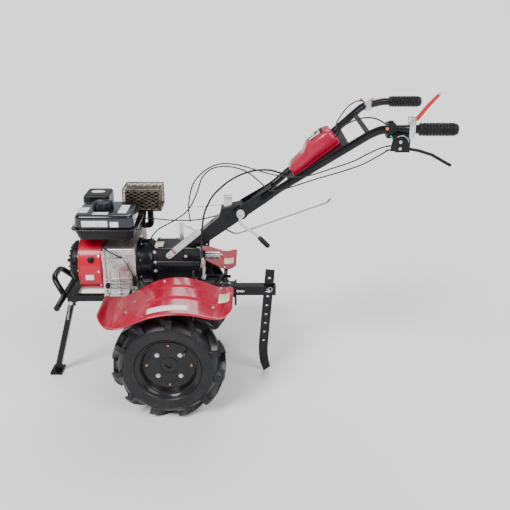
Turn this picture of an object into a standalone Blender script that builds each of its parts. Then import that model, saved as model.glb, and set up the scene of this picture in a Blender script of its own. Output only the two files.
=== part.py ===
"""Walk-behind two-wheel tractor with a petrol engine, a rear hitch and V handlebars.

Metres. X runs to the rear, Y to the machine's right and Z up. Lengths along X are
counted from a datum in the gearbox leg, just ahead of the wheel axle, and one empty
carries the whole machine so that the world's origin lies on the ground under the
middle of its length.
"""

import math

import bmesh
import bpy
from mathutils import Matrix, Vector

FIT = 0.0003  # gap left between two pieces that touch
SWING = 0.0055  # room beside a piece that turns past another

# Where the datum lies from the middle of the machine's length
DATUM_TO_MIDDLE = -0.2405

# Wheels: 4.00-8 tyres on flat disc rims
WHEEL_RADIUS = 0.210
AXLE_Z = WHEEL_RADIUS
AXLE_X = 0.020
WHEEL_TRACK = 0.584  # between the tyres' middles
TYRE_WIDTH = 0.112
TYRE_WALL = 0.011
RIM_RADIUS = 0.1016
RIM_WIDTH = 0.087
RIM_WALL = 0.003
RIM_FLANGE = 0.0105
DISC_PLATE = 0.004
DISC_FACE = 0.016  # outer face of the disc from the tyre's middle
DISC_BORE = 0.0125
HUB_LENGTH = 0.085
HUB_RADIUS = 0.021
HUB_FLANGE = 0.078
SHAFT_RADIUS = 0.0115

# Axle housings and gearbox
AXLE_TUBE_RADIUS = 0.030
AXLE_TUBE_END = 0.140
LEG_WIDTH = 0.090
LEG_ROUND = 0.062
LEG_FRONT = -0.052
LEG_REAR = 0.092
BOX_FLOOR = AXLE_Z + 0.267
BOX_TOP = AXLE_Z + 0.363
BOX_REAR = 0.128
BOX_WIDTH = 0.124
BOSS_RADIUS = 0.021
BOSS_Y = 0.048
BOSS_Z = AXLE_Z + 0.297
COVER_RADIUS = 0.0145
COVER_REAR = 0.198
COVER_HEIGHT = AXLE_Z + 0.309

# Engine
RAIL_TOP = AXLE_Z + 0.183
CRANK_ABOVE_BASE = 0.106
CASE_REAR = -0.115
CASE_LENGTH = 0.128
CASE_WIDTH = 0.190
CASE_HEIGHT = 0.192
CYLINDER_TILT = math.radians(25)  # above the horizontal, towards the right
CYLINDER_REACH = 0.165
CYLINDER_WIDTH = 0.108
HEAD_LENGTH = 0.038
ROCKER_LENGTH = 0.030
FAN_DEPTH = 0.089
FAN_RADIUS = 0.112
FAN_ARM_REACH = 0.112
RECOIL_DEPTH = 0.047
RECOIL_RADIUS = 0.080
BELL_DEPTH = 0.060
BELL_RADIUS = 0.092
CABLE_STOP = Vector((-0.064, -0.020, AXLE_Z + 0.385))  # where the clutch cable leaves the housing

# Fuel tank
TANK_FRONT = -0.334
TANK_REAR = -0.114
TANK_LEFT = -0.120
TANK_RIGHT = 0.070
TANK_FLOOR = AXLE_Z + 0.4155
TANK_SEAM = AXLE_Z + 0.4595
TANK_TOP = AXLE_Z + 0.513
TANK_LIP = 0.010
SEAM_THICK = 0.005
BRACKET_LOW = AXLE_Z + 0.402
BRACKET_THICK = 0.006
CAP_RADIUS = 0.0405
CAP_HEIGHT = 0.026
CAP_X = -0.238
CAP_Y = -0.020

# Air cleaner, muffler and its guard
CLEANER_FRONT = -0.340
CLEANER_REAR = -0.238
CLEANER_LEFT = 0.088
CLEANER_RIGHT = 0.198
CLEANER_FLOOR = AXLE_Z + 0.434
CLEANER_TOP = AXLE_Z + 0.527
GUARD_FRONT = -0.186
GUARD_REAR = -0.034
GUARD_LEFT = 0.090
GUARD_RIGHT = 0.202
GUARD_FLOOR = AXLE_Z + 0.469
GUARD_TOP = AXLE_Z + 0.551
GUARD_WALL = 0.003
MUFFLER_GAP = 0.010
FLANGE_THICK = 0.006
PIPE_RADIUS = 0.013

# Engine frame, bumper and stand
RAIL_SIZE = 0.024
RAIL_Y = 0.087
RAIL_REAR = 0.110
CROSS_DEPTH = 0.036
BUMPER_X = -0.401
BUMPER_Z = AXLE_Z + 0.178
BUMPER_RADIUS = 0.0115
BUMPER_HALF = 0.200
HOOP_RISE = 0.060
HOOP_REACH = 0.046
HOOP_HALF = 0.052
STAND_X = -0.397
STAND_Z = AXLE_Z + 0.115
STAND_LEAN = 0.092  # how far the foot stands ahead of the pivot
STAND_LEG = 0.024
STAND_FOOT = 0.048
STAND_FOOT_WIDTH = 0.070
STAND_FOOT_THICK = 0.008
STAND_EAR = 0.006
PIN_RADIUS = 0.0045

# Hitch
HITCH_BAR = 0.038
HITCH_Z = AXLE_Z + 0.166
HITCH_REAR = 0.418
HITCH_PLATE_X = 0.262
DRAG_X = 0.389
DRAG_WIDTH = 0.037
DRAG_THICK = 0.012
DRAG_TOP = AXLE_Z + 0.249
DRAG_PITCH = 0.040
DRAG_HOLE = 0.006
DRAG_HOLES = 8
DRAG_TIP = 0.003
DRAG_LEAN = math.radians(4.4)  # its foot hangs forward of its pin
DRAG_ROOM = 0.003

# Fenders: a pressed sheet that follows the tyre with an S at each end
FENDER_SHEET = 0.003
FENDER_INNER = 0.148
FENDER_OUTER = 0.385
FENDER_LINE = [  # X, and height above the axle
    (-0.217, 0.229), (-0.200, 0.209), (-0.168, 0.201), (-0.130, 0.214), (-0.085, 0.241),
    (-0.035, 0.267), (0.020, 0.281), (0.075, 0.282), (0.125, 0.271), (0.170, 0.253),
    (0.200, 0.243), (0.228, 0.243), (0.256, 0.253),
]
STAY_FRONT = -0.139
STAY_REST = 0.206
STAY_REACH = 0.040  # how far the stay's arms run under the sheet
FENDER_CROWN = 0.037  # how much lower the outer edge lies half way along
FENDER_LEAN = {-1: 0.0, 1: 0.15}  # the right sheet has sunk towards the rear

# Handle column and handlebars
PIVOT = Vector((0.281, 0.0, AXLE_Z + 0.497))
COLUMN_FRONT = 0.083
COLUMN_DEPTH_X = 0.062
COLUMN_HALF = 0.0285
HEAD_RADIUS = 0.030
YOKE_WALL = 0.006
BOLT_RADIUS = 0.006
TUBE_RADIUS = 0.0145
YOKE_END = Vector((0.400, 0.0, AXLE_Z + 0.579))
BAR_Y = 0.194
BAR_POINT = Vector((0.720, 0.0, AXLE_Z + 0.827))
BAR_BEND = Vector((0.756, 0.222, AXLE_Z + 0.851))
GRIP_Y = 0.270
GRIP_Z = AXLE_Z + 0.861
GRIP_START = 0.869
GRIP_END = 0.994
GRIP_RADIUS = 0.0205
LEVER_X = 0.7965
LEVER_DROP = 0.078
SAFETY_X = 0.828
SAFETY_Y = 0.283
SWITCH_X = 0.768
SWITCH_LONG = 0.028
SWITCH_AT = Vector((0.0, 0.234, AXLE_Z + 0.854))
THROTTLE_X = 0.762
THROTTLE_LONG = 0.026
THROTTLE_AT = Vector((0.0, 0.232, AXLE_Z + 0.853))
CABLE_RADIUS = 0.0026
CABLE_STEP = 0.014
CABLE_GAP = 0.0015
LOOM_RADIUS = 0.0036
CLAMP_RADIUS = 0.015
CLAMP_BOSS = 0.024

# Ends of the cables on the gearbox
SELECTOR_END = AXLE_Z + 0.449
POST_X = 0.052
POST_RISE = 0.079
LINK_RADIUS = 0.0025
SELECTOR_ARM_TOP = AXLE_Z + 0.309
ROD_Y = 0.044  # the shift rod rises on the right of the column

# Console between the handle tubes, by X
PLATE_FRONT = 0.455
PLATE_REAR = 0.662
COVER_FRONT = 0.480
COVER_BACK = 0.640
COVER_HALF = 0.062
COVER_THICK = 0.040

CRANK_Z = RAIL_TOP + FIT + CRANK_ABOVE_BASE
CASE_FRONT = CASE_REAR - CASE_LENGTH
WHEEL_Y = WHEEL_TRACK / 2
EAR_INNER = STAND_LEG / 2 + 0.001
EAR_OUTER = EAR_INNER + STAND_EAR
YOKE_INNER = COLUMN_HALF + SWING
YOKE_OUTER = YOKE_INNER + YOKE_WALL
SLOPE = math.atan2(BAR_POINT.z - YOKE_END.z, BAR_POINT.x - YOKE_END.x)

PAINTS = {
    "red_paint": ((0.55, 0.01, 0.03), 0.25, 0.0),
    "cover_red": ((0.62, 0.03, 0.06), 0.3, 0.0),
    "frame_black": ((0.012, 0.013, 0.016), 0.35, 0.0),
    "tank_black": ((0.008, 0.010, 0.016), 0.12, 0.0),
    "gearbox_grey": ((0.035, 0.038, 0.042), 0.45, 0.0),
    "engine_alloy": ((0.55, 0.53, 0.50), 0.45, 0.9),
    "bright_steel": ((0.62, 0.63, 0.64), 0.30, 1.0),
    "guard_steel": ((0.10, 0.09, 0.08), 0.5, 0.8),
    "black_plastic": ((0.018, 0.018, 0.020), 0.5, 0.0),
    "tyre_rubber": ((0.02, 0.02, 0.021), 0.8, 0.0),
    "grip_rubber": ((0.015, 0.015, 0.016), 0.7, 0.0),
    "cable_black": ((0.02, 0.02, 0.022), 0.5, 0.0),
    "lever_red": ((0.60, 0.02, 0.02), 0.35, 0.0),
    "zinc": ((0.75, 0.76, 0.78), 0.35, 0.9),
}


def clear_scene():
    for obj in list(bpy.data.objects):
        bpy.data.objects.remove(obj, do_unlink=True)


def make_collection(name, hidden=False):
    made = bpy.data.collections.new(name)
    bpy.context.scene.collection.children.link(made)
    made.hide_render = hidden
    return made


def make_paints():
    for name, (colour, roughness, metallic) in PAINTS.items():
        material = bpy.data.materials.new(name)
        material.use_nodes = True
        shader = material.node_tree.nodes["Principled BSDF"]
        shader.inputs["Base Color"].default_value = (*colour, 1.0)
        shader.inputs["Roughness"].default_value = roughness
        shader.inputs["Metallic"].default_value = metallic


class Carrier:
    """An empty on a joint's axis, or at the axle's foot, that carries a group of pieces."""

    def __init__(self, name, at, parent=None):
        self.at = Vector(at)
        self.empty = bpy.data.objects.new(name, None)
        self.empty.location = self.at - parent.at if parent else self.at
        if parent:
            self.empty.parent = parent.empty
        PARTS.objects.link(self.empty)


def settle(name, data, at, paint, carrier, turn=None):
    """Gives a mesh or curve its object, its place in the machine and its paint."""
    obj = bpy.data.objects.new(name, data)
    PARTS.objects.link(obj)
    obj.parent = carrier.empty
    obj.location = Vector(at) - carrier.at
    if turn:
        obj.rotation_euler = turn
    data.materials.append(bpy.data.materials[paint])
    return obj


def smooth(mesh, angle=35):
    mesh.shade_smooth()
    mesh.set_sharp_from_angle(angle=math.radians(angle))


def round_edges(obj, width, segments=2):
    bevel = obj.modifiers.new("rounded", "BEVEL")
    bevel.width = width
    bevel.segments = segments
    bevel.limit_method = "ANGLE"
    return obj


def block(name, low, high, paint, carrier, rounding=0.0, turn=None):
    """A box between two corners, turned about its own middle."""
    low = Vector(low)
    high = Vector(high)
    bm = bmesh.new()
    bmesh.ops.create_cube(bm, size=1.0)
    bmesh.ops.scale(bm, vec=high - low, verts=bm.verts)
    mesh = bpy.data.meshes.new(name)
    bm.to_mesh(mesh)
    bm.free()
    obj = settle(name, mesh, (low + high) / 2, paint, carrier, turn)
    if rounding:
        round_edges(obj, rounding)
    return obj


AXIS_TURN = {
    "X": (0.0, math.radians(90), 0.0),
    "Y": (math.radians(-90), 0.0, 0.0),
    "-Y": (math.radians(90), 0.0, 0.0),
    "Z": (0.0, 0.0, 0.0),
}


def drum(name, radius, start, end, paint, carrier, sides=24, end_radius=None):
    """A straight round bar or cone between two points."""
    start = Vector(start)
    end = Vector(end)
    bm = bmesh.new()
    bmesh.ops.create_cone(
        bm, cap_ends=True, segments=sides, radius1=radius,
        radius2=radius if end_radius is None else end_radius, depth=(end - start).length,
    )
    mesh = bpy.data.meshes.new(name)
    bm.to_mesh(mesh)
    bm.free()
    smooth(mesh)
    turn = (end - start).to_track_quat("Z", "Y").to_euler()
    return settle(name, mesh, (start + end) / 2, paint, carrier, turn)


def turned(name, profile, at, axis, paint, carrier, steps=32):
    """A ring or drum turned about an axis, from (radius, distance along the axis) points."""
    mesh = bpy.data.meshes.new(name)
    points = [(radius, 0.0, along) for radius, along in profile]
    closed = all(radius > 0 for radius, along in profile)
    count = len(points)
    edges = [(i, (i + 1) % count) for i in range(count if closed else count - 1)]
    mesh.from_pydata(points, edges, [])
    obj = settle(name, mesh, at, paint, carrier, AXIS_TURN[axis])
    screw = obj.modifiers.new("turned", "SCREW")
    screw.axis = "Z"
    screw.steps = steps
    screw.render_steps = steps
    screw.use_merge_vertices = True
    screw.merge_threshold = 0.0001
    screw.use_smooth_shade = False
    return obj


def rounded_path(points, radius, steps=4):
    """The same run of points with each inner corner replaced by an arc-like curve."""
    points = [Vector(point) for point in points]
    path = [points[0]]
    for before, corner, after in zip(points, points[1:], points[2:]):
        back = before - corner
        ahead = after - corner
        reach = min(radius, back.length * 0.45, ahead.length * 0.45)
        first = corner + back.normalized() * reach
        last = corner + ahead.normalized() * reach
        for i in range(steps + 1):
            t = i / steps
            path.append(first * (1 - t) ** 2 + corner * 2 * t * (1 - t) + last * t**2)
    path.append(points[-1])
    return path


def tube(name, path, radius, paint, carrier, resolution=2):
    """A round bar or tube along a path."""
    curve = bpy.data.curves.new(name, "CURVE")
    curve.dimensions = "3D"
    curve.bevel_depth = radius
    curve.bevel_resolution = resolution
    curve.use_fill_caps = True
    spline = curve.splines.new("POLY")
    spline.points.add(len(path) - 1)
    for point, place in zip(spline.points, path):
        point.co = (*(Vector(place) - carrier.at), 1.0)
    return settle(name, curve, carrier.at, paint, carrier)


def flat(name, loops, thickness, at, turn, paint, carrier):
    """A flat piece from outlines in its own plane: the first loop is its edge, the others are holes."""
    curve = bpy.data.curves.new(name, "CURVE")
    curve.dimensions = "2D"
    curve.fill_mode = "BOTH"
    curve.extrude = thickness / 2
    for loop in loops:
        spline = curve.splines.new("POLY")
        spline.points.add(len(loop) - 1)
        spline.use_cyclic_u = True
        for point, (across, along) in zip(spline.points, loop):
            point.co = (across, along, 0.0, 1.0)
    return settle(name, curve, at, paint, carrier, turn)


def plate(name, loops, thickness, middle_y, paint, carrier):
    """A flat piece that stands along X and Z, with its outlines in the machine's X and Z."""
    moved = [[(x - carrier.at.x, z - carrier.at.z) for x, z in loop] for loop in loops]
    at = Vector((carrier.at.x, middle_y, carrier.at.z))
    return flat(name, moved, thickness, at, (math.radians(90), 0.0, 0.0), paint, carrier)


def arc(centre, radius, start, end, steps):
    """Points on an arc in the X-Z plane, with angles in degrees."""
    points = []
    for i in range(steps + 1):
        angle = math.radians(start + (end - start) * i / steps)
        points.append((centre[0] + radius * math.cos(angle), centre[1] + radius * math.sin(angle)))
    return points


def ring(centre, radius, steps=12):
    return arc(centre, radius, 0, 360 - 360 / steps, steps - 1)


def as_mesh(obj):
    """The same piece as a mesh with its caps welded, because a curve takes no Boolean."""
    bpy.context.view_layer.update()
    graph = bpy.context.evaluated_depsgraph_get()
    mesh = bpy.data.meshes.new_from_object(obj.evaluated_get(graph))
    bm = bmesh.new()
    bm.from_mesh(mesh)
    bmesh.ops.remove_doubles(bm, verts=bm.verts, dist=0.00005)
    bmesh.ops.recalc_face_normals(bm, faces=bm.faces)
    bm.to_mesh(mesh)
    bm.free()
    name = obj.name
    place = obj.matrix_world.copy()
    parent = obj.parent
    bpy.data.objects.remove(obj, do_unlink=True)
    made = bpy.data.objects.new(name, mesh)
    PARTS.objects.link(made)
    made.parent = parent
    bpy.context.view_layer.update()
    made.matrix_world = place
    return made


def boolean(obj, others, operation):
    for other in others:
        if other.type == "CURVE":
            other = as_mesh(other)
        for home in list(other.users_collection):
            home.objects.unlink(other)
        TOOLS.objects.link(other)
        other.hide_render = True
        other.display_type = "WIRE"
        step = obj.modifiers.new(operation.lower(), "BOOLEAN")
        step.operation = operation
        step.solver = "EXACT"
        step.object = other
    return obj


def unite(obj, *others):
    if obj.type == "CURVE":
        obj = as_mesh(obj)
    return boolean(obj, others, "UNION")


def cut(obj, *others):
    if obj.type == "CURVE":
        obj = as_mesh(obj)
    return boolean(obj, others, "DIFFERENCE")


def make_wheel(side, label):
    """Tyre, rim, hub and half shaft, which turn together about the axle."""
    carrier = Carrier(f"wheel_{label}_axis", (AXLE_X, side * WHEEL_Y, AXLE_Z), MACHINE)
    outward = "Y" if side > 0 else "-Y"
    middle = (AXLE_X, side * WHEEL_Y, AXLE_Z)
    half = TYRE_WIDTH / 2
    seat = RIM_RADIUS + FIT
    bead = RIM_WIDTH / 2 - 0.004
    inner = half - TYRE_WALL
    lip = RIM_RADIUS + RIM_FLANGE
    tyre = [
        (seat, bead), (lip + 0.002, bead), (seat + 0.024, half - 0.003), (seat + 0.052, half),
        (WHEEL_RADIUS - 0.016, half - 0.005), (WHEEL_RADIUS, half - 0.016),
        (WHEEL_RADIUS, 0.016 - half), (WHEEL_RADIUS - 0.016, 0.005 - half),
        (seat + 0.052, -half), (seat + 0.024, 0.003 - half), (lip + 0.002, -bead), (seat, -bead),
        (seat, 0.009 - bead), (seat + 0.024, 0.003 - inner), (seat + 0.052, -inner),
        (WHEEL_RADIUS - 0.024, 0.012 - inner), (WHEEL_RADIUS - 0.020, 0.0),
        (WHEEL_RADIUS - 0.024, inner - 0.012), (seat + 0.052, inner),
        (seat + 0.024, inner - 0.003), (seat, bead - 0.009),
    ]
    turned(f"tyre_{label}", tyre, middle, outward, "tyre_rubber", carrier, 36)
    edge = RIM_WIDTH / 2
    well = RIM_RADIUS - RIM_WALL
    disc_back = DISC_FACE - DISC_PLATE
    rim = [
        (lip, edge), (lip, edge - RIM_WALL), (RIM_RADIUS, edge - RIM_WALL),
        (RIM_RADIUS, RIM_WALL - edge), (lip, RIM_WALL - edge), (lip, -edge),
        (well, -edge), (well, disc_back), (DISC_BORE, disc_back),
        (DISC_BORE, DISC_FACE), (well, DISC_FACE), (well, edge),
    ]
    turned(f"rim_{label}", rim, middle, outward, "frame_black", carrier, 36)
    flange_back = disc_back - FIT
    bore = SHAFT_RADIUS + FIT
    hub = [
        (HUB_FLANGE, flange_back), (HUB_FLANGE, flange_back - 0.006),
        (HUB_RADIUS, flange_back - 0.006), (HUB_RADIUS, flange_back - HUB_LENGTH),
        (bore, flange_back - HUB_LENGTH), (bore, flange_back),
    ]
    turned(f"hub_{label}", hub, middle, outward, "frame_black", carrier, 24)
    start = LEG_WIDTH / 2 + 0.012
    end = WHEEL_Y + disc_back - 0.002
    drum(
        f"half_shaft_{label}", SHAFT_RADIUS, (AXLE_X, side * start, AXLE_Z),
        (AXLE_X, side * end, AXLE_Z), "bright_steel", carrier, 18,
    )


def make_axle_housing(side, label):
    start = LEG_WIDTH / 2 + FIT
    bore = SHAFT_RADIUS + 0.0005
    length = AXLE_TUBE_END - start
    profile = [
        (AXLE_TUBE_RADIUS + 0.012, 0.010), (AXLE_TUBE_RADIUS + 0.012, 0.0), (bore, 0.0),
        (bore, length), (AXLE_TUBE_RADIUS, length), (AXLE_TUBE_RADIUS, 0.010),
    ]
    at = (AXLE_X, side * start, AXLE_Z)
    turned(
        f"axle_housing_{label}", profile, at, "Y" if side > 0 else "-Y",
        "gearbox_grey", MACHINE, 24,
    )


def make_gearbox():
    leg = [(LEG_FRONT, BOX_FLOOR - FIT)]
    leg += arc((AXLE_X, AXLE_Z), LEG_ROUND, 180, 360, 12)
    leg += [(LEG_REAR, BOX_FLOOR - 0.148), (LEG_REAR, BOX_FLOOR - FIT)]
    case = plate("gearbox_leg", [leg], LEG_WIDTH, 0.0, "gearbox_grey", MACHINE)
    # Feet on both sides of the leg reach the engine frame's rails
    foot_half = RAIL_Y - RAIL_SIZE / 2 - FIT
    feet = block(
        "gearbox_feet", (LEG_FRONT + 0.012, -foot_half, RAIL_TOP - 0.032),
        (LEG_REAR - 0.012, foot_half, RAIL_TOP), "gearbox_grey", MACHINE,
    )
    unite(case, feet)
    half = BOX_WIDTH / 2
    upper = block(
        "gearbox_upper", (CASE_REAR + BELL_DEPTH + FIT, -half, BOX_FLOOR),
        (BOX_REAR, half, BOX_TOP), "gearbox_grey", MACHINE, 0.012,
    )
    boss = drum(
        "gearbox_boss", BOSS_RADIUS, (LEG_FRONT, -BOSS_Y, BOSS_Z),
        (BOX_REAR, -BOSS_Y, BOSS_Z), "gearbox_grey", MACHINE,
    )
    unite(upper, boss)
    drum(
        "rear_shaft_cover", COVER_RADIUS, (BOX_REAR + FIT, 0.004, COVER_HEIGHT),
        (COVER_REAR, 0.004, COVER_HEIGHT), "bright_steel", MACHINE,
    )
    for side, label in SIDES:
        make_axle_housing(side, label)


def cylinder_block(name, start, end, width, height, paint, rounding):
    """A box along the leaning cylinder's axis, between two distances from the crankshaft."""
    middle = (start + end) / 2
    centre = Vector((
        (CASE_FRONT + CASE_REAR) / 2, middle * math.cos(CYLINDER_TILT),
        CRANK_Z + middle * math.sin(CYLINDER_TILT),
    ))
    half = Vector((width, end - start, height)) / 2
    return block(
        name, centre - half, centre + half, paint, MACHINE, rounding, (CYLINDER_TILT, 0.0, 0.0)
    )


def make_engine():
    base = RAIL_TOP + FIT
    half = CASE_WIDTH / 2
    case = block(
        "engine_block", (CASE_FRONT, -half, base), (CASE_REAR, half, base + CASE_HEIGHT),
        "engine_alloy", MACHINE, 0.010,
    )
    barrel = cylinder_block(
        "barrel", 0.02, CYLINDER_REACH, CYLINDER_WIDTH, CYLINDER_WIDTH, "engine_alloy", 0.0
    )
    unite(case, barrel)
    head_start = CYLINDER_REACH + FIT
    head_end = head_start + HEAD_LENGTH
    cylinder_block(
        "cylinder_head", head_start, head_end, CYLINDER_WIDTH + 0.006, CYLINDER_WIDTH,
        "engine_alloy", 0.004,
    )
    cylinder_block(
        "rocker_cover", head_end + FIT, head_end + FIT + ROCKER_LENGTH, 0.086, 0.066,
        "engine_alloy", 0.006,
    )
    fan_rear = CASE_FRONT - FIT
    fan_front = fan_rear - FAN_DEPTH
    fan = drum(
        "fan_housing", FAN_RADIUS, (fan_front, 0.0, CRANK_Z), (fan_rear, 0.0, CRANK_Z),
        "red_paint", MACHINE, 36,
    )
    arm = cylinder_block(
        "fan_arm", 0.02, FAN_ARM_REACH, FAN_DEPTH - 0.014, 0.094, "red_paint", 0.0
    )
    arm.location.x = fan.location.x
    unite(fan, arm)
    recoil_rear = fan_front - FIT
    depth = RECOIL_DEPTH
    recoil = [
        (0.0, depth), (RECOIL_RADIUS - 0.022, depth), (RECOIL_RADIUS - 0.004, depth - 0.012),
        (RECOIL_RADIUS, depth - 0.022), (RECOIL_RADIUS, 0.0), (0.0, 0.0),
    ]
    starter = turned(
        "recoil_starter", recoil, (recoil_rear, 0.0, CRANK_Z), "X", "black_plastic", MACHINE, 32
    )
    starter.rotation_euler = (0.0, math.radians(-90), 0.0)
    bell_front = CASE_REAR + FIT
    bell = [
        (0.0, BELL_DEPTH - FIT), (BELL_RADIUS - 0.012, BELL_DEPTH - FIT),
        (BELL_RADIUS - 0.006, BELL_DEPTH - 0.016), (BELL_RADIUS - 0.006, 0.014),
        (BELL_RADIUS, 0.014), (BELL_RADIUS, 0.0), (0.0, 0.0),
    ]
    housing = turned(
        "clutch_housing", bell, (bell_front, 0.0, CRANK_Z), "X", "frame_black", MACHINE, 32
    )
    stop = block(
        "cable_stop", (CABLE_STOP.x - 0.009, CABLE_STOP.y - 0.008, CRANK_Z + BELL_RADIUS - 0.020),
        (CABLE_STOP.x + 0.005, CABLE_STOP.y + 0.008, CABLE_STOP.z), "frame_black", MACHINE,
    )
    unite(housing, stop)


def make_tank():
    lip = TANK_LIP
    tank = block(
        "fuel_tank", (TANK_FRONT, TANK_LEFT, TANK_SEAM - 0.001), (TANK_REAR, TANK_RIGHT, TANK_TOP),
        "tank_black", MACHINE, 0.016,
    )
    tank.modifiers["rounded"].segments = 3
    seam = block(
        "tank_seam", (TANK_FRONT - lip, TANK_LEFT - lip, TANK_SEAM),
        (TANK_REAR + lip, TANK_RIGHT + lip, TANK_SEAM + SEAM_THICK), "tank_black", MACHINE,
    )
    tray = block(
        "tank_tray", (TANK_FRONT + 0.010, TANK_LEFT + 0.006, TANK_FLOOR),
        (TANK_REAR - 0.010, TANK_RIGHT - 0.006, TANK_SEAM + 0.010), "tank_black", MACHINE, 0.010,
    )
    unite(tank, seam, tray)
    # Two feet carry the tank on the cylinder's shoulder and on the crankcase
    case_top = RAIL_TOP + FIT + CASE_HEIGHT
    foot = block(
        "tank_foot", (CASE_FRONT + 0.02, -0.070, case_top + FIT),
        (CASE_REAR - 0.02, -0.040, TANK_FLOOR + 0.004), "tank_black", MACHINE,
    )
    bracket = block(
        "tank_bracket", (TANK_REAR + lip - 0.004, 0.034, BRACKET_LOW),
        (TANK_REAR + lip + BRACKET_THICK, TANK_RIGHT, TANK_SEAM + 0.002), "tank_black", MACHINE,
    )
    unite(tank, foot, bracket)
    cap_base = TANK_TOP + FIT
    drum(
        "fuel_cap", CAP_RADIUS, (CAP_X, CAP_Y, cap_base), (CAP_X, CAP_Y, cap_base + CAP_HEIGHT),
        "black_plastic", MACHINE, 20,
    )


def make_intake_and_exhaust():
    head_y = (CYLINDER_REACH + HEAD_LENGTH / 2) * math.cos(CYLINDER_TILT)
    head_z = CRANK_Z + (CYLINDER_REACH + HEAD_LENGTH / 2) * math.sin(CYLINDER_TILT)
    head_front = (CASE_FRONT + CASE_REAR - CYLINDER_WIDTH - 0.006) / 2
    head_rear = CASE_FRONT + CASE_REAR - head_front
    block(
        "air_cleaner", (CLEANER_FRONT, CLEANER_LEFT, CLEANER_FLOOR),
        (CLEANER_REAR, CLEANER_RIGHT, CLEANER_TOP), "black_plastic", MACHINE, 0.010,
    )
    block(
        "carburettor", (head_front - FIT - 0.045, head_y - 0.022, head_z - 0.020),
        (head_front - FIT, head_y + 0.022, CLEANER_FLOOR - FIT), "engine_alloy", MACHINE, 0.004,
    )
    inset = MUFFLER_GAP + GUARD_WALL
    muffler = block(
        "muffler", (GUARD_FRONT + inset, GUARD_LEFT + inset, GUARD_FLOOR - FLANGE_THICK),
        (GUARD_REAR - inset, GUARD_RIGHT - inset, GUARD_TOP - inset), "guard_steel", MACHINE,
    )
    flange = block(
        "muffler_flange", (GUARD_FRONT, GUARD_LEFT, GUARD_FLOOR - FLANGE_THICK - 0.001),
        (GUARD_REAR, GUARD_RIGHT, GUARD_FLOOR - FIT), "guard_steel", MACHINE,
    )
    pipe_x = head_rear + 0.032
    pipe = [
        (head_rear + FIT, head_y, head_z + 0.010), (pipe_x, head_y, head_z + 0.010),
        (pipe_x, head_y, GUARD_FLOOR - 0.003),
    ]
    pipe = tube("exhaust_pipe", rounded_path(pipe, 0.018), PIPE_RADIUS, "guard_steel", MACHINE)
    unite(muffler, flange, pipe)
    guard = block(
        "muffler_guard", (GUARD_FRONT, GUARD_LEFT, GUARD_FLOOR),
        (GUARD_REAR, GUARD_RIGHT, GUARD_TOP), "guard_steel", MACHINE,
    )
    room = block(
        "guard_room", (GUARD_FRONT + GUARD_WALL, GUARD_LEFT + GUARD_WALL, GUARD_FLOOR - 0.01),
        (GUARD_REAR - GUARD_WALL, GUARD_RIGHT - GUARD_WALL, GUARD_TOP - GUARD_WALL),
        "guard_steel", MACHINE,
    )
    cut(guard, room)


def make_frame():
    """Two rails under the engine, welded to a crossmember that carries the stand's ears."""
    front = BUMPER_X + BUMPER_RADIUS + FIT
    half = RAIL_SIZE / 2
    low = RAIL_TOP - RAIL_SIZE
    frame = block(
        "engine_frame", (front, -RAIL_Y - half, low), (RAIL_REAR, half - RAIL_Y, RAIL_TOP),
        "frame_black", MACHINE,
    )
    right_rail = block(
        "right_rail", (front, RAIL_Y - half, low), (RAIL_REAR, RAIL_Y + half, RAIL_TOP),
        "frame_black", MACHINE,
    )
    cross = block(
        "crossmember", (front, -RAIL_Y, low + 0.001), (front + CROSS_DEPTH, RAIL_Y, RAIL_TOP - 0.004),
        "frame_black", MACHINE,
    )
    ears = []
    for side in (-1, 1):
        near = side * EAR_INNER
        far = side * EAR_OUTER
        ears.append(block(
            f"ear_{side}", (STAND_X - 0.014, min(near, far), STAND_Z - 0.014),
            (STAND_X + 0.016, max(near, far), low + 0.004), "frame_black", MACHINE,
        ))
    stays = fender_stay(-1) + fender_stay(1)
    unite(frame, right_rail, cross, *ears, *stays)
    hole = drum(
        "ear_holes", PIN_RADIUS + FIT, (STAND_X, -0.05, STAND_Z), (STAND_X, 0.05, STAND_Z),
        "frame_black", MACHINE, 16,
    )
    cut(frame, hole)
    bar = drum(
        "bumper", BUMPER_RADIUS, (BUMPER_X, -BUMPER_HALF, BUMPER_Z),
        (BUMPER_X, BUMPER_HALF, BUMPER_Z), "frame_black", MACHINE, 16,
    )
    top_x = BUMPER_X - HOOP_REACH
    top_z = BUMPER_Z + HOOP_RISE
    line = [
        (BUMPER_X, -RAIL_Y, BUMPER_Z), (top_x, -HOOP_HALF, top_z),
        (top_x, HOOP_HALF, top_z), (BUMPER_X, RAIL_Y, BUMPER_Z),
    ]
    hoop = tube("bumper_hoop", rounded_path(line, 0.030), BUMPER_RADIUS, "frame_black", MACHINE, 4)
    unite(bar, hoop)


def make_stand():
    """The front leg hangs between the frame's two ears and folds to the rear."""
    carrier = Carrier("stand_axis", (STAND_X, 0.0, STAND_Z), MACHINE)
    foot_x = STAND_X - STAND_LEAN
    pin = drum(
        "stand_pin", PIN_RADIUS, (STAND_X, -EAR_OUTER - 0.004, STAND_Z),
        (STAND_X, EAR_OUTER + 0.004, STAND_Z), "bright_steel", carrier, 16,
    )
    half = STAND_LEG / 2
    leg = arc((STAND_X, STAND_Z), half, 165, 15, 6)
    leg += [(foot_x + half, STAND_FOOT_THICK), (foot_x - half, STAND_FOOT_THICK)]
    stand = plate("stand_leg", [leg], STAND_LEG, 0.0, "frame_black", carrier)
    foot = block(
        "stand_foot", (foot_x - STAND_FOOT / 2, -STAND_FOOT_WIDTH / 2, 0.0),
        (foot_x + STAND_FOOT / 2, STAND_FOOT_WIDTH / 2, STAND_FOOT_THICK + 0.002),
        "frame_black", carrier,
    )
    unite(stand, foot, pin)


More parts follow.
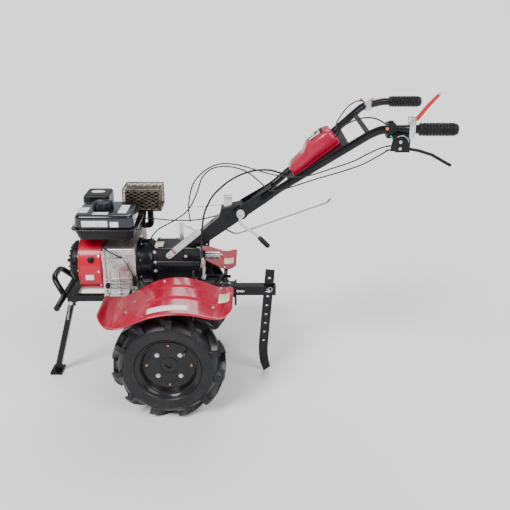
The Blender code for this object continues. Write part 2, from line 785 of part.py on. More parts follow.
def make_hitch():
    half = HITCH_BAR / 2
    low = HITCH_Z - half
    high = HITCH_Z + half
    bracket = block(
        "hitch_bracket", (LEG_REAR + FIT, -0.034, low - 0.026), (LEG_REAR + 0.012, 0.034, high + 0.020),
        "frame_black", MACHINE,
    )
    socket = block(
        "hitch_socket", (LEG_REAR + 0.006, -half - 0.006, low - 0.006),
        (HITCH_PLATE_X, half + 0.006, high + 0.006), "frame_black", MACHINE,
    )
    lug = block(
        "hitch_lug", (HITCH_PLATE_X - 0.008, -0.034, low - 0.038),
        (HITCH_PLATE_X, 0.034, high + 0.008), "frame_black", MACHINE,
    )
    unite(bracket, socket, lug)
    room = block(
        "socket_room", (HITCH_PLATE_X - 0.060, -half - FIT, low - FIT),
        (HITCH_PLATE_X + 0.01, half + FIT, high + FIT), "frame_black", MACHINE,
    )
    cut(bracket, room)
    bar = block(
        "hitch_bar", (HITCH_PLATE_X - 0.055, -half, low), (HITCH_REAR, half, high),
        "frame_black", MACHINE,
    )
    slot = block(
        "drag_slot", (DRAG_X - DRAG_WIDTH / 2 - DRAG_ROOM, -DRAG_THICK / 2 - FIT, low - 0.01),
        (DRAG_X + DRAG_WIDTH / 2 + DRAG_ROOM, DRAG_THICK / 2 + FIT, high + 0.01), "frame_black", MACHINE,
    )
    first_hole = DRAG_TOP - 0.035
    pin_z = first_hole - DRAG_PITCH
    pin_hole = drum(
        "pin_hole", DRAG_HOLE - 0.001 + FIT, (DRAG_X, -0.05, pin_z), (DRAG_X, 0.05, pin_z),
        "frame_black", MACHINE, 16,
    )
    cut(bar, slot, pin_hole)
    half_width = DRAG_WIDTH / 2
    left = DRAG_X - half_width
    right = DRAG_X + half_width
    tip = DRAG_TIP
    outline = [
        (left, DRAG_TOP), (left, tip + 0.117), (left + 0.004, tip + 0.077),
        (left + 0.013, tip + 0.037), (left + 0.030, tip), (right + 0.018, tip + 0.022),
        (right + 0.010, tip + 0.047), (right + 0.003, tip + 0.084), (right, tip + 0.117),
        (right, DRAG_TOP),
    ]
    holes = [ring((DRAG_X, first_hole - i * DRAG_PITCH), DRAG_HOLE) for i in range(DRAG_HOLES)]
    sine = math.sin(DRAG_LEAN)
    cosine = math.cos(DRAG_LEAN)
    loops = [
        [(DRAG_X + (x - DRAG_X) * cosine + (z - pin_z) * sine,
          pin_z + (z - pin_z) * cosine - (x - DRAG_X) * sine) for x, z in loop]
        for loop in [outline, *holes]
    ]
    plate("drag_bar", loops, DRAG_THICK, 0.0, "frame_black", MACHINE)
    drum(
        "hitch_pin", DRAG_HOLE - 0.001, (DRAG_X, -half - 0.018, pin_z),
        (DRAG_X, half + 0.010, pin_z), "zinc", MACHINE, 16,
    )


def sheet_height(x, share, side):
    """Height of a fender's sheet, at a share of its width from the inner edge."""
    start = FENDER_LINE[0][0]
    end = FENDER_LINE[-1][0]
    for (x0, z0), (x1, z1) in zip(FENDER_LINE, FENDER_LINE[1:]):
        if x <= x1:
            break
    level = z0 + (z1 - z0) * (x - x0) / (x1 - x0)
    crown = FENDER_CROWN * math.sin(math.pi * (x - start) / (end - start))
    return AXLE_Z + level - crown * share - FENDER_LEAN[side] * (x - STAY_FRONT)


def make_fender(side, label):
    """A sheet along the tyre, made by extruding one S-shaped line across."""
    bm = bmesh.new()
    near = [bm.verts.new((x, side * FENDER_INNER, sheet_height(x, 0, side))) for x, z in FENDER_LINE]
    edges = [bm.edges.new(pair) for pair in zip(near, near[1:])]
    grown = bmesh.ops.extrude_edge_only(bm, edges=edges)
    for item in grown["geom"]:
        if isinstance(item, bmesh.types.BMVert):
            item.co.y = side * FENDER_OUTER
            item.co.z = sheet_height(item.co.x, 1, side)
    bmesh.ops.recalc_face_normals(bm, faces=bm.faces)
    mesh = bpy.data.meshes.new(f"fender_{label}")
    bm.to_mesh(mesh)
    bm.free()
    fender = settle(f"fender_{label}", mesh, (0.0, 0.0, 0.0), "red_paint", MACHINE)
    sheet = fender.modifiers.new("sheet", "SOLIDIFY")
    sheet.thickness = FENDER_SHEET
    sheet.offset = 0.0
    return fender


def fender_stay(side):
    """Pieces of the stay welded to the rail's outer side, with two arms under the fender."""
    inner = RAIL_Y + RAIL_SIZE / 2 - 0.002
    strip = inner + 0.008
    reach = FENDER_INNER + STAY_REACH
    share = STAY_REACH / (FENDER_OUTER - FENDER_INNER)

    def slab(name, low_x, high_x, far, low_z, high_z):
        low_y = min(side * inner, side * far)
        high_y = max(side * inner, side * far)
        return block(name, (low_x, low_y, low_z), (high_x, high_y, high_z), "frame_black", MACHINE)

    def under(low_x, high_x):
        """The height just under the sheet between two places along it."""
        lowest = min(sheet_height(low_x, share, side), sheet_height(high_x, share, side))
        return lowest - FENDER_SHEET * 0.6 - 2 * FIT

    foot = RAIL_TOP - 0.014
    front_start = STAY_FRONT - 0.006
    rest_end = STAY_REST + 0.016
    rest_top = under(STAY_REST, rest_end)
    shelf = rest_top - 0.003
    riser = RAIL_REAR - 0.022
    return [
        slab("front_arm", front_start, STAY_FRONT, reach, foot, under(front_start, STAY_FRONT)),
        slab("rear_riser", riser, RAIL_REAR, strip, foot, shelf),
        slab("rear_shelf", riser, STAY_REST + 0.030, strip, shelf - 0.011, shelf),
        slab("rear_rest", STAY_REST, rest_end, reach, shelf - 0.009, rest_top),
    ]


def make_column():
    """The box column on the gearbox, with a round head that the handlebar turns on."""
    base = BOX_TOP + FIT
    front = COLUMN_FRONT
    back = front + COLUMN_DEPTH_X
    outline = [
        (front - 0.020, base), (back - 0.008, base), (back + 0.004, base + 0.010),
        (PIVOT.x + 0.004, PIVOT.z - HEAD_RADIUS + 0.002),
    ]
    outline += arc((PIVOT.x, PIVOT.z), HEAD_RADIUS, -80, 110, 10)
    outline += [
        (PIVOT.x - 0.075, PIVOT.z + 0.012), (PIVOT.x - 0.082, PIVOT.z - 0.020),
        (front, base + 0.014), (front - 0.020, base + 0.014),
    ]
    hole = ring((PIVOT.x, PIVOT.z), BOLT_RADIUS + FIT)
    plate("handle_column", [outline, hole], 2 * COLUMN_HALF, 0.0, "frame_black", MACHINE)


def grip_line(side):
    """The handle tube's run from the yoke to its end inside the grip."""
    slope = (BAR_POINT - YOKE_END).normalized()
    start = YOKE_END - slope * 0.045
    beside = YOKE_OUTER + TUBE_RADIUS + FIT
    return [
        Vector((start.x, side * beside, start.z)),
        Vector((YOKE_END.x + 0.018, side * (beside + 0.002), YOKE_END.z + 0.0146)),
        Vector((BAR_POINT.x, side * BAR_Y, BAR_POINT.z)),
        Vector((BAR_BEND.x, side * BAR_BEND.y, BAR_BEND.z)),
        Vector((GRIP_START - 0.030, side * (GRIP_Y - 0.006), GRIP_Z)),
        Vector((GRIP_START, side * GRIP_Y, GRIP_Z)),
        Vector((GRIP_END - 0.004, side * GRIP_Y, GRIP_Z)),
    ]


def handle_tube(name, side, radius, carrier):
    return tube(name, rounded_path(grip_line(side), 0.045, 5), radius, "frame_black", carrier, 4)


def in_slope(x, rise):
    """The point on the handle tubes' plane at this X, raised square to it."""
    z = YOKE_END.z + (x - YOKE_END.x) * math.tan(SLOPE)
    return Vector((x - rise * math.sin(SLOPE), 0.0, z + rise * math.cos(SLOPE)))


def make_yoke(carrier):
    angle = math.atan2(YOKE_END.z - PIVOT.z, YOKE_END.x - PIVOT.x)
    along = Vector((math.cos(angle), 0.0, math.sin(angle)))
    up = Vector((-math.sin(angle), 0.0, math.cos(angle)))

    def spot(reach, rise):
        point = PIVOT + along * reach + up * rise
        return (point.x, point.z)

    side_line = [
        spot(-0.022, 0.020), spot(-0.030, 0.004), spot(-0.022, -0.022), spot(0.130, -0.020),
        spot(0.150, -0.010), spot(0.150, 0.018), spot(0.020, 0.026),
    ]
    hole = ring((PIVOT.x, PIVOT.z), BOLT_RADIUS + FIT)
    middle = (YOKE_INNER + YOKE_OUTER) / 2
    yoke = plate("handle_yoke", [side_line, hole], YOKE_WALL, -middle, "frame_black", carrier)
    far = plate("yoke_right", [side_line, hole], YOKE_WALL, middle, "frame_black", carrier)
    web_line = [spot(0.060, -0.018), spot(0.149, -0.018), spot(0.149, 0.016), spot(0.060, 0.016)]
    web = plate("yoke_web", [web_line], 2 * middle, 0.0, "frame_black", carrier)
    unite(yoke, web, far)


def make_console(carrier):
    """A plate between the tubes with a moulded cover on it, and the crossbar behind."""
    half = BAR_Y + 0.002
    bar_at = in_slope(BAR_POINT.x, 0.0)
    bar = block(
        "crossbar", bar_at + Vector((-0.009, -half, -0.003)), bar_at + Vector((0.009, half, 0.003)),
        "frame_black", carrier, 0.0, (0.0, -SLOPE, 0.0),
    )
    front = in_slope(PLATE_FRONT, 0.0)
    length = (PLATE_REAR - PLATE_FRONT) / math.cos(SLOPE)

    def tube_y(x):
        share = (x - YOKE_END.x) / (BAR_POINT.x - YOKE_END.x)
        return YOKE_OUTER + TUBE_RADIUS + share * (BAR_Y - YOKE_OUTER - TUBE_RADIUS)

    line = [
        (0.0, -tube_y(PLATE_FRONT)), (length, -tube_y(PLATE_REAR)),
        (length, tube_y(PLATE_REAR)), (0.0, tube_y(PLATE_FRONT)),
    ]
    shelf = flat(
        "console_plate", [line], 0.004, front, (0.0, -SLOPE, 0.0), "frame_black", carrier
    )
    for piece in (bar, shelf):
        saddles = [handle_tube(f"{piece.name}_saddle_{label}", side, TUBE_RADIUS + FIT, carrier)
                   for side, label in SIDES]
        cut(piece, *saddles)
    low = in_slope((COVER_FRONT + COVER_BACK) / 2, 0.002 + FIT + COVER_THICK / 2)
    half_size = Vector((
        (COVER_BACK - COVER_FRONT) / math.cos(SLOPE) / 2, COVER_HALF, COVER_THICK / 2,
    ))
    block(
        "console_cover", low - half_size, low + half_size, "cover_red", carrier, 0.012,
        (0.0, -SLOPE, 0.0),
    )


def make_levers(carrier):
    """Controls held to the handle tubes just ahead of the grips."""
    under = GRIP_Z - TUBE_RADIUS - FIT
    over = GRIP_Z + TUBE_RADIUS + FIT
    side = GRIP_Y - 0.017
    low = GRIP_Z - LEVER_DROP
    clutch = block(
        "clutch_lever", (LEVER_X, -side - 0.012, low), (LEVER_X + 0.048, 0.018 - side, under),
        "black_plastic", carrier,
    )
    blade = tube(
        "clutch_blade",
        [(LEVER_X + 0.034, -side, low + 0.012), (LEVER_X + 0.080, -side - 0.002, low + 0.004),
         (LEVER_X + 0.124, -side - 0.006, low - 0.009), (LEVER_X + 0.162, -side - 0.012, low - 0.030),
         (LEVER_X + 0.188, -side - 0.016, low - 0.043)],
        0.0055, "black_plastic", carrier,
    )
    unite(clutch, blade)
    cut(clutch, handle_tube("clutch_saddle", -1, TUBE_RADIUS + FIT, carrier))
    front = SAFETY_X
    back = SAFETY_X + 0.030
    cheek = block(
        "safety_lever", (front, -SAFETY_Y - 0.004, GRIP_Z - 0.034), (back, -SAFETY_Y, over + 0.022),
        "zinc", carrier,
    )
    saddle = block(
        "safety_saddle", (front, -SAFETY_Y - 0.0035, over), (back, -SAFETY_Y + 0.040, over + 0.022),
        "zinc", carrier,
    )
    stick_y = 0.025 - SAFETY_Y
    stick = tube(
        "safety_stick",
        [(back - 0.006, stick_y, over + 0.012), (back + 0.014, stick_y, GRIP_Z + 0.044),
         (back + 0.080, stick_y, GRIP_Z + 0.118)],
        0.006, "lever_red", carrier,
    )
    unite(cheek, saddle, stick)
    spot = SWITCH_AT
    switch = block(
        "stop_switch", (SWITCH_X, -spot.y - 0.021, spot.z - 0.026),
        (SWITCH_X + SWITCH_LONG, 0.021 - spot.y, spot.z + 0.022), "black_plastic", carrier,
    )
    button_x = SWITCH_X + SWITCH_LONG / 2
    button = drum(
        "stop_button", 0.008, (button_x, -spot.y, spot.z + 0.020), (button_x, -spot.y, spot.z + 0.028),
        "black_plastic", carrier, 16,
    )
    unite(switch, button)
    cut(switch, handle_tube("switch_bore", -1, TUBE_RADIUS + FIT, carrier))
    spot = THROTTLE_AT
    throttle = block(
        "throttle_lever", (THROTTLE_X, spot.y - 0.020, spot.z - 0.019),
        (THROTTLE_X + THROTTLE_LONG, spot.y + 0.020, spot.z + 0.019), "zinc", carrier,
    )
    thumb = tube(
        "throttle_thumb",
        [(THROTTLE_X + 0.014, spot.y, spot.z + 0.017), (THROTTLE_X - 0.002, spot.y - 0.003, spot.z + 0.024),
         (THROTTLE_X - 0.026, spot.y - 0.013, spot.z + 0.018)],
        0.004, "black_plastic", carrier,
    )
    unite(throttle, thumb)
    cut(throttle, handle_tube("throttle_bore", 1, TUBE_RADIUS + FIT, carrier))


def make_clamp_lever(carrier):
    """The lever that clamps the handlebar's pivot: boss, cranked arm and handle."""
    start = -YOKE_OUTER - FIT
    end = start - CLAMP_BOSS
    boss = drum(
        "clamp_lever", CLAMP_RADIUS, (PIVOT.x, start, PIVOT.z), (PIVOT.x, end, PIVOT.z),
        "zinc", carrier, 18,
    )
    arm_y = end + 0.007
    knee = PIVOT + Vector((-0.001, arm_y, -0.036))
    heel = Vector((PIVOT.x + 0.068, arm_y - 0.030, PIVOT.z - 0.078))
    outward = Vector((0.040, -0.018, -0.034))
    line = [(PIVOT.x, arm_y, PIVOT.z), knee, heel, heel + outward * 0.32]
    arm = tube("clamp_arm", rounded_path(line, 0.018, 3), 0.0055, "zinc", carrier)
    handle = drum("clamp_handle", 0.0095, heel, heel + outward, "black_plastic", carrier, 16)
    unite(boss, arm, handle)
    bolt_end = end + 0.006
    hole = drum(
        "clamp_hole", BOLT_RADIUS + FIT, (PIVOT.x, start + 0.01, PIVOT.z),
        (PIVOT.x, bolt_end, PIVOT.z), "zinc", carrier, 16,
    )
    cut(boss, hole)
    drum(
        "pivot_bolt", BOLT_RADIUS, (PIVOT.x, bolt_end + FIT, PIVOT.z),
        (PIVOT.x, YOKE_OUTER + 0.012, PIVOT.z), "bright_steel", carrier, 16,
    )


def make_handlebar():
    carrier = Carrier("handlebar_axis", PIVOT, MACHINE)
    make_yoke(carrier)
    for side, label in SIDES:
        handle_tube(f"handle_tube_{label}", side, TUBE_RADIUS, carrier)
        first = Vector((GRIP_START, side * GRIP_Y, GRIP_Z))
        last = Vector((GRIP_END, side * GRIP_Y, GRIP_Z))
        grip = drum(f"grip_{label}", GRIP_RADIUS, first, last, "grip_rubber", carrier, 20)
        bore = handle_tube(f"grip_bore_{label}", side, TUBE_RADIUS + FIT, carrier)
        cut(grip, bore)
    make_console(carrier)
    make_levers(carrier)
    make_clamp_lever(carrier)


def make_gear_controls():
    """Selector rod, lock lever and post on the gearbox, none of which has a joint."""
    top = BOX_TOP + FIT
    low = Vector((0.008, BOX_TOP - 0.028))
    high = Vector((0.119, BOX_TOP + 0.067))
    angle = math.degrees(math.atan2(high.y - low.y, high.x - low.x))
    outline = arc(low, 0.012, angle + 90, angle + 270, 6) + arc(high, 0.013, angle - 90, angle + 90, 6)
    plate("lock_lever", [outline], 0.004, -BOX_WIDTH / 2 - FIT - 0.002, "zinc", MACHINE)
    post = block(
        "lock_post", (POST_X - 0.008, -0.008, top), (POST_X + 0.008, 0.008, top + POST_RISE),
        "zinc", MACHINE,
    )
    wire_z = top + POST_RISE
    bend = (POST_X + 0.038, -0.016, wire_z - 0.013)
    wire = tube(
        "lock_wire", [(POST_X, 0.0, wire_z - 0.004), bend, (POST_X + 0.070, -0.036, wire_z - 0.024)],
        LINK_RADIUS, "zinc", MACHINE,
    )
    stub = tube(
        "lock_stub", [bend, (POST_X + 0.0355, -0.004, wire_z), (POST_X + 0.035, 0.0, SELECTOR_END)],
        LINK_RADIUS, "zinc", MACHINE,
    )
    unite(post, wire, stub)
    arm_top = SELECTOR_ARM_TOP
    link_x = BOX_REAR + 0.011
    arm = block(
        "selector_arm", (BOX_REAR + FIT, -0.084, arm_top - 0.012), (BOX_REAR + 0.016, -0.046, arm_top),
        "zinc", MACHINE,
    )
    link = tube(
        "selector_link", [(link_x - 0.001, -0.080, arm_top - 0.006), (link_x, -0.084, arm_top - 0.050)],
        0.004, "zinc", MACHINE,
    )
    ball_z = arm_top - 0.054
    ball = drum(
        "selector_ball", 0.0085, (link_x, -0.090, ball_z), (link_x, -0.072, ball_z), "zinc", MACHINE, 12
    )
    unite(arm, link, ball)
    rod_line = [
        (0.108, ROD_Y, BOX_TOP + 3 * FIT), (0.110, ROD_Y, BOX_TOP + 0.014),
        (0.160, ROD_Y, BOX_TOP + 0.036), (0.205, ROD_Y - 0.004, BOX_TOP + 0.055),
        (0.236, 0.016, BOX_TOP + 0.041), (0.266, 0.0, BOX_TOP + 0.036),
        (0.320, 0.0, BOX_TOP + 0.056), (0.617, 0.0, BOX_TOP + 0.166),
    ]
    rod = tube("shift_rod", rounded_path(rod_line, 0.022, 3), 0.0035, "zinc", MACHINE)
    knob = drum(
        "shift_knob", 0.0065, (0.612, 0.0, BOX_TOP + 0.164), (0.622, 0.0, BOX_TOP + 0.178),
        "zinc", MACHINE, 12,
    )
    unite(rod, knob)


def route(points, spacing):
    """Evenly spaced points on one smooth curve through the given ones."""
    points = [Vector(point) for point in points]
    ends = [points[0] * 2 - points[1], *points, points[-1] * 2 - points[-2]]
    fine = []
    for a, b, c, d in zip(ends, ends[1:], ends[2:], ends[3:]):
        for i in range(16):
            t = i / 16
            fine.append(0.5 * (
                2 * b + (c - a) * t + (2 * a - 5 * b + 4 * c - d) * t**2
                + (3 * b - a - 3 * c + d) * t**3
            ))
    fine.append(points[-1])
    kept = [fine[0]]
    for point in fine[1:-1]:
        if (point - kept[-1]).length >= spacing:
            kept.append(point)
    if (fine[-1] - kept[-1]).length < spacing / 2:
        kept.pop()
    kept.append(fine[-1])
    return kept


def make_cables():
    """Every cable is held at both ends, so each is whole along its own route."""
    along = Vector((math.cos(SLOPE), 0.0, math.sin(SLOPE)))
    cover_front = in_slope(COVER_FRONT, 0.024) - along * CABLE_GAP + Vector((0.0, -0.030, 0.0))
    cover_left = in_slope(COVER_BACK, 0.024) + along * CABLE_GAP + Vector((0.0, -0.030, 0.0))
    cover_right = in_slope(COVER_BACK, 0.024) + along * CABLE_GAP + Vector((0.0, 0.045, 0.0))
    stop = CABLE_STOP
    bracket = TANK_REAR + TANK_LIP + BRACKET_THICK + CABLE_GAP
    lever = LEVER_X - CABLE_GAP
    routes = {
        "cable_throttle": [
            (bracket, 0.058, 0.654), (-0.070, 0.058, 0.653), (-0.037, 0.058, 0.650),
            (0.006, 0.055, 0.647), (0.050, 0.052, 0.647), (0.089, 0.050, 0.648),
            (0.132, 0.050, 0.654), (0.171, 0.052, 0.663), (0.210, 0.056, 0.673),
            (0.250, 0.060, 0.683), (0.290, 0.060, 0.690), (0.335, 0.057, 0.706),
            (0.372, 0.051, 0.725), (0.405, 0.044, 0.749), (0.438, 0.036, 0.775),
            (0.474, 0.030, 0.803), (0.503, 0.026, 0.835), in_slope(0.508, -0.014) + Vector((0.0, 0.025, 0.0)),
            in_slope(0.508, -0.003) + Vector((0.0, 0.025, 0.0)),
        ],
        "cable_accelerator": [
            cover_right, cover_right + along * 0.008, (0.640, 0.068, 1.027),
            (0.662, 0.100, 1.053), (0.690, 0.140, 1.075), (0.722, 0.172, 1.087),
            (0.745, 0.198, 1.086), (THROTTLE_X - 2 * CABLE_GAP, 0.213, 1.079),
        ],
        "cable_clutch": [
            (stop.x, stop.y, stop.z + CABLE_GAP), (stop.x, stop.y, stop.z + 0.008),
            (-0.052, -0.020, 0.617), (-0.030, -0.020, 0.639), (0.027, -0.020, 0.671),
            (0.082, -0.020, 0.713), (0.117, -0.025, 0.779), (0.139, -0.030, 0.841),
            (0.174, -0.032, 0.875), (0.216, -0.042, 0.888), (0.265, -0.057, 0.887),
            (0.310, -0.072, 0.873), (0.353, -0.085, 0.841), (0.389, -0.090, 0.810),
            (0.436, -0.102, 0.819), (0.480, -0.114, 0.836), (0.558, -0.139, 0.870),
            (0.640, -0.160, 0.901), (0.706, -0.184, 0.933), (0.756, -0.220, 0.974),
            (0.780, -0.243, 0.997), (lever, -0.246, 1.000),
        ],
        "cable_selector": [
            (0.087, 0.0, SELECTOR_END + CABLE_GAP), (0.086, 0.0, SELECTOR_END + 0.012), (0.083, 0.0, 0.699),
            (0.085, -0.005, 0.739), (0.099, -0.010, 0.801), (0.131, -0.016, 0.850),
            (0.174, -0.020, 0.881), (0.215, -0.028, 0.895), (0.265, -0.042, 0.895),
            (0.306, -0.052, 0.888), (0.345, -0.066, 0.879), (0.404, -0.088, 0.869),
            (0.465, -0.109, 0.866), (0.502, -0.122, 0.872), (0.540, -0.133, 0.882),
            (0.600, -0.148, 0.907), (0.673, -0.170, 0.939), (0.720, -0.197, 0.973),
            (0.754, -0.228, 0.999), (0.779, -0.253, 1.013), (lever, -0.256, 1.015),
        ],
        "cable_loom": [
            (0.136, -0.075, SELECTOR_ARM_TOP + FIT), (0.136, -0.075, SELECTOR_ARM_TOP + 0.010),
            (0.133, -0.070, 0.571), (0.133, -0.056, 0.609), (0.136, -0.046, 0.657),
            (0.145, -0.040, 0.707), (0.160, -0.034, 0.742), (0.179, -0.030, 0.774),
            (0.211, -0.030, 0.806), (0.243, -0.030, 0.832), (0.290, -0.032, 0.857),
            (0.340, -0.033, 0.871), (0.390, -0.032, 0.871), (0.430, -0.030, 0.860),
            cover_front - along * 0.014, cover_front,
        ],
        "cable_switch": [
            cover_left, cover_left + along * 0.008, (0.640, -0.060, 1.031),
            (0.656, -0.100, 1.055), (0.680, -0.150, 1.079), (0.707, -0.185, 1.093),
            (0.735, -0.212, 1.095), (0.754, -0.232, 1.088), (SWITCH_X - 2 * CABLE_GAP, -0.244, 1.082),
        ],
    }
    for name, points in routes.items():
        radius = LOOM_RADIUS if name == "cable_loom" else CABLE_RADIUS
        tube(name, route(points, CABLE_STEP), radius, "cable_black", MACHINE)


MACHINE = None
SIDES = ((-1, "left"), (1, "right"))

clear_scene()
PARTS = make_collection("hand_tractor")
TOOLS = make_collection("cutters", hidden=True)
make_paints()
MACHINE = Carrier("machine", (0.0, 0.0, 0.0))
for side, label in SIDES:
    make_wheel(side, label)
    make_fender(side, label)
make_gearbox()
make_engine()
make_tank()
make_intake_and_exhaust()
make_frame()
make_stand()
make_hitch()
make_column()
make_handlebar()
make_gear_controls()
make_cables()
MACHINE.empty.location.x = DATUM_TO_MIDDLE
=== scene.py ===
"""The looks of a walk-behind two-wheel tractor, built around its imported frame.

Metres, in the frame's own axes: X to the rear, Y to the machine's right and Z up.
"""

import math

import bmesh
import bpy
from mathutils import Matrix, Vector


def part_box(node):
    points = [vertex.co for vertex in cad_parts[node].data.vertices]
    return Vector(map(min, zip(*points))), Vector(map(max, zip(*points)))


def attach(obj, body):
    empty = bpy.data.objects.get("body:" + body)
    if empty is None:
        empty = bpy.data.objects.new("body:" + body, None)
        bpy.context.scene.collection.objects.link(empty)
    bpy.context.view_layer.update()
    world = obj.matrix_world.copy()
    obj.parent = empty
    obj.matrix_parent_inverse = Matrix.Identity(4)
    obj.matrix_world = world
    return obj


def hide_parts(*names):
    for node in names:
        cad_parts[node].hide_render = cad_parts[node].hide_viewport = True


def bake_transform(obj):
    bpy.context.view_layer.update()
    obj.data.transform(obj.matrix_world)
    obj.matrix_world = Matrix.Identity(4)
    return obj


bl_info = {
    "name": "Hand tractor looks",
    "version": (1, 0, 0),
    "blender": (4, 5, 0),
    "location": "3D View > Sidebar > Tractor",
    "description": "Builds the visible pieces and finishes of a walk-behind tractor",
    "category": "Object",
}

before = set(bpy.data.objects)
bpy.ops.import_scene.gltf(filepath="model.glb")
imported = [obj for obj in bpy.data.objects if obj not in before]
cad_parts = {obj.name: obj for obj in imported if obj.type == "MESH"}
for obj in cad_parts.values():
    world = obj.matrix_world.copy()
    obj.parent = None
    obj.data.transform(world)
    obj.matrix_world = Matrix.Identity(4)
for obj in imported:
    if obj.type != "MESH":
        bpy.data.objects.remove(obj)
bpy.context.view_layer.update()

SIDES = ((-1, "left"), (1, "right"))
AXLE_SHIFT = 0.020  # the axle lies this far behind the machine's datum


def middle(node):
    low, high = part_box(node)
    return (low + high) / 2


AXLE = middle("tyre_left")
DATUM = AXLE.x - AXLE_SHIFT
RAIL_TOP = AXLE.z + 0.183
CRANK_Z = RAIL_TOP + 0.1063
CYLINDER_TILT = math.radians(25)
PIVOT = Vector((0.281, 0.0, AXLE.z + 0.497))
GRIP_Z = AXLE.z + 0.861
CAMERA_AT = (0.335, -2.5, AXLE.z + 1.322)
CAMERA_PITCH = math.radians(22)


def at(x, y, z):
    """A place in the frame, from lengths counted from the machine's datum."""
    return Vector((x + DATUM, y, z))


# ---------------------------------------------------------------- settings


class TractorSizes(bpy.types.PropertyGroup):
    """Sizes of the visible detail."""

    lug_pairs: bpy.props.IntProperty(
        name="Lug pairs", description="Chevron lugs on each shoulder of a tyre", default=11, min=5
    )
    lug_height: bpy.props.FloatProperty(
        name="Lug radius", description="Radius over the tyre's lugs", default=AXLE.z - 0.0006,
        unit="LENGTH",
    )
    rib_height: bpy.props.FloatProperty(
        name="Fender rib", description="How far a pressed rib stands up", default=0.0062,
        unit="LENGTH",
    )
    mesh_pitch: bpy.props.FloatProperty(
        name="Guard mesh", description="Distance between the guard's strands", default=0.0145,
        unit="LENGTH",
    )
    grip_ribs: bpy.props.IntProperty(
        name="Grip ribs", description="Moulded rings along a grip", default=10, min=4
    )
    fin_count: bpy.props.IntProperty(
        name="Cooling fins", description="Fins along the cylinder", default=11, min=3
    )


class TractorColours(bpy.types.PropertyGroup):
    """Colours that an owner would choose."""

    fender: bpy.props.FloatVectorProperty(
        name="Fender red", description="Paint of the fenders", subtype="COLOR",
        default=(0.43, 0.003, 0.032),
    )
    fan: bpy.props.FloatVectorProperty(
        name="Fan housing red", description="Paint of the fan housing", subtype="COLOR",
        default=(0.52, 0.003, 0.030),
    )
    tank: bpy.props.FloatVectorProperty(
        name="Tank black", description="Paint of the fuel tank", subtype="COLOR",
        default=(0.0035, 0.0050, 0.0100),
    )
    label: bpy.props.FloatVectorProperty(
        name="Label", description="Blank stickers", subtype="COLOR", default=(0.82, 0.82, 0.80)
    )


# ---------------------------------------------------------------- finishes


class Number:
    """A shader value that Python's operators work on."""

    def __init__(self, finish, socket):
        self.finish = finish
        self.socket = socket

    def _maths(self, operation, *values):
        made = self.finish.node(
            "ShaderNodeMath", {"operation": operation}, dict(enumerate(values))
        )
        return Number(self.finish, made.outputs[0])

    def __add__(self, other):
        return self._maths("ADD", self, other)

    def __radd__(self, other):
        return self._maths("ADD", other, self)

    def __sub__(self, other):
        return self._maths("SUBTRACT", self, other)

    def __rsub__(self, other):
        return self._maths("SUBTRACT", other, self)

    def __mul__(self, other):
        return self._maths("MULTIPLY", self, other)

    def __rmul__(self, other):
        return self._maths("MULTIPLY", other, self)

    def __truediv__(self, other):
        return self._maths("DIVIDE", self, other)

    def __pow__(self, other):
        return self._maths("POWER", self, other)

    def sine(self):
        return self._maths("SINE", self)

    def above(self, level, softness):
        """0 below the level, rising to 1 over the softness."""
        rise = (self - level) / softness
        return rise._maths("MINIMUM", rise._maths("MAXIMUM", rise, 0.0), 1.0)


class Finish:
    """One material, whose nodes are all made by one method."""

    def __init__(self, name, coat=0.0, coat_roughness=0.1, sheen=0.0, ior=1.5):
        self.material = bpy.data.materials.new(name)
        self.material.use_nodes = True
        self.tree = self.material.node_tree
        self.shader = self.tree.nodes["Principled BSDF"]
        self.shader.inputs["Coat Weight"].default_value = coat
        self.shader.inputs["Coat Roughness"].default_value = coat_roughness
        self.shader.inputs["Sheen Weight"].default_value = sheen
        self.shader.inputs["IOR"].default_value = ior
        self.coordinates = self.node("ShaderNodeTexCoord").outputs["Object"]

    def node(self, kind, settings=None, sockets=None):
        made = self.tree.nodes.new(kind)
        for key, value in (settings or {}).items():
            setattr(made, key, value)
        for key, value in (sockets or {}).items():
            self.put(made.inputs[key], value)
        return made

    def put(self, socket, value):
        if isinstance(value, Number):
            value = value.socket
        if isinstance(value, bpy.types.NodeSocket):
            self.tree.links.new(value, socket)
        elif socket.type == "RGBA" and len(value) == 3:
            socket.default_value = (*value, 1.0)
        else:
            socket.default_value = value

    def stretched(self, scale):
        made = self.node("ShaderNodeMapping", None, {"Vector": self.coordinates, "Scale": scale})
        return made.outputs["Vector"]

    def noise(self, scale, detail=4.0, vector=None):
        made = self.node(
            "ShaderNodeTexNoise", None,
            {"Vector": vector or self.coordinates, "Scale": scale, "Detail": detail},
        )
        return Number(self, made.outputs["Fac"])

    def height(self):
        made = self.node("ShaderNodeSeparateXYZ", None, {0: self.coordinates})
        return Number(self, made.outputs["Z"])

    def upward(self):
        geometry = self.node("ShaderNodeNewGeometry")
        made = self.node("ShaderNodeSeparateXYZ", None, {0: geometry.outputs["Normal"]})
        return Number(self, made.outputs["Z"])

    def blend(self, share, first, second):
        made = self.node("ShaderNodeMix", {"data_type": "RGBA"}, {0: share, 6: first, 7: second})
        return made.outputs[2]

    def relief(self, height, strength, distance):
        made = self.node(
            "ShaderNodeBump", None, {"Height": height, "Strength": strength, "Distance": distance}
        )
        self.put(self.shader.inputs["Normal"], made.outputs["Normal"])

    def surface(self, colour, roughness, metallic=0.0):
        self.put(self.shader.inputs["Base Color"], colour)
        self.put(self.shader.inputs["Roughness"], roughness)
        self.put(self.shader.inputs["Metallic"], metallic)


DUST = (0.36, 0.31, 0.25)
STEEL = (0.46, 0.46, 0.47)


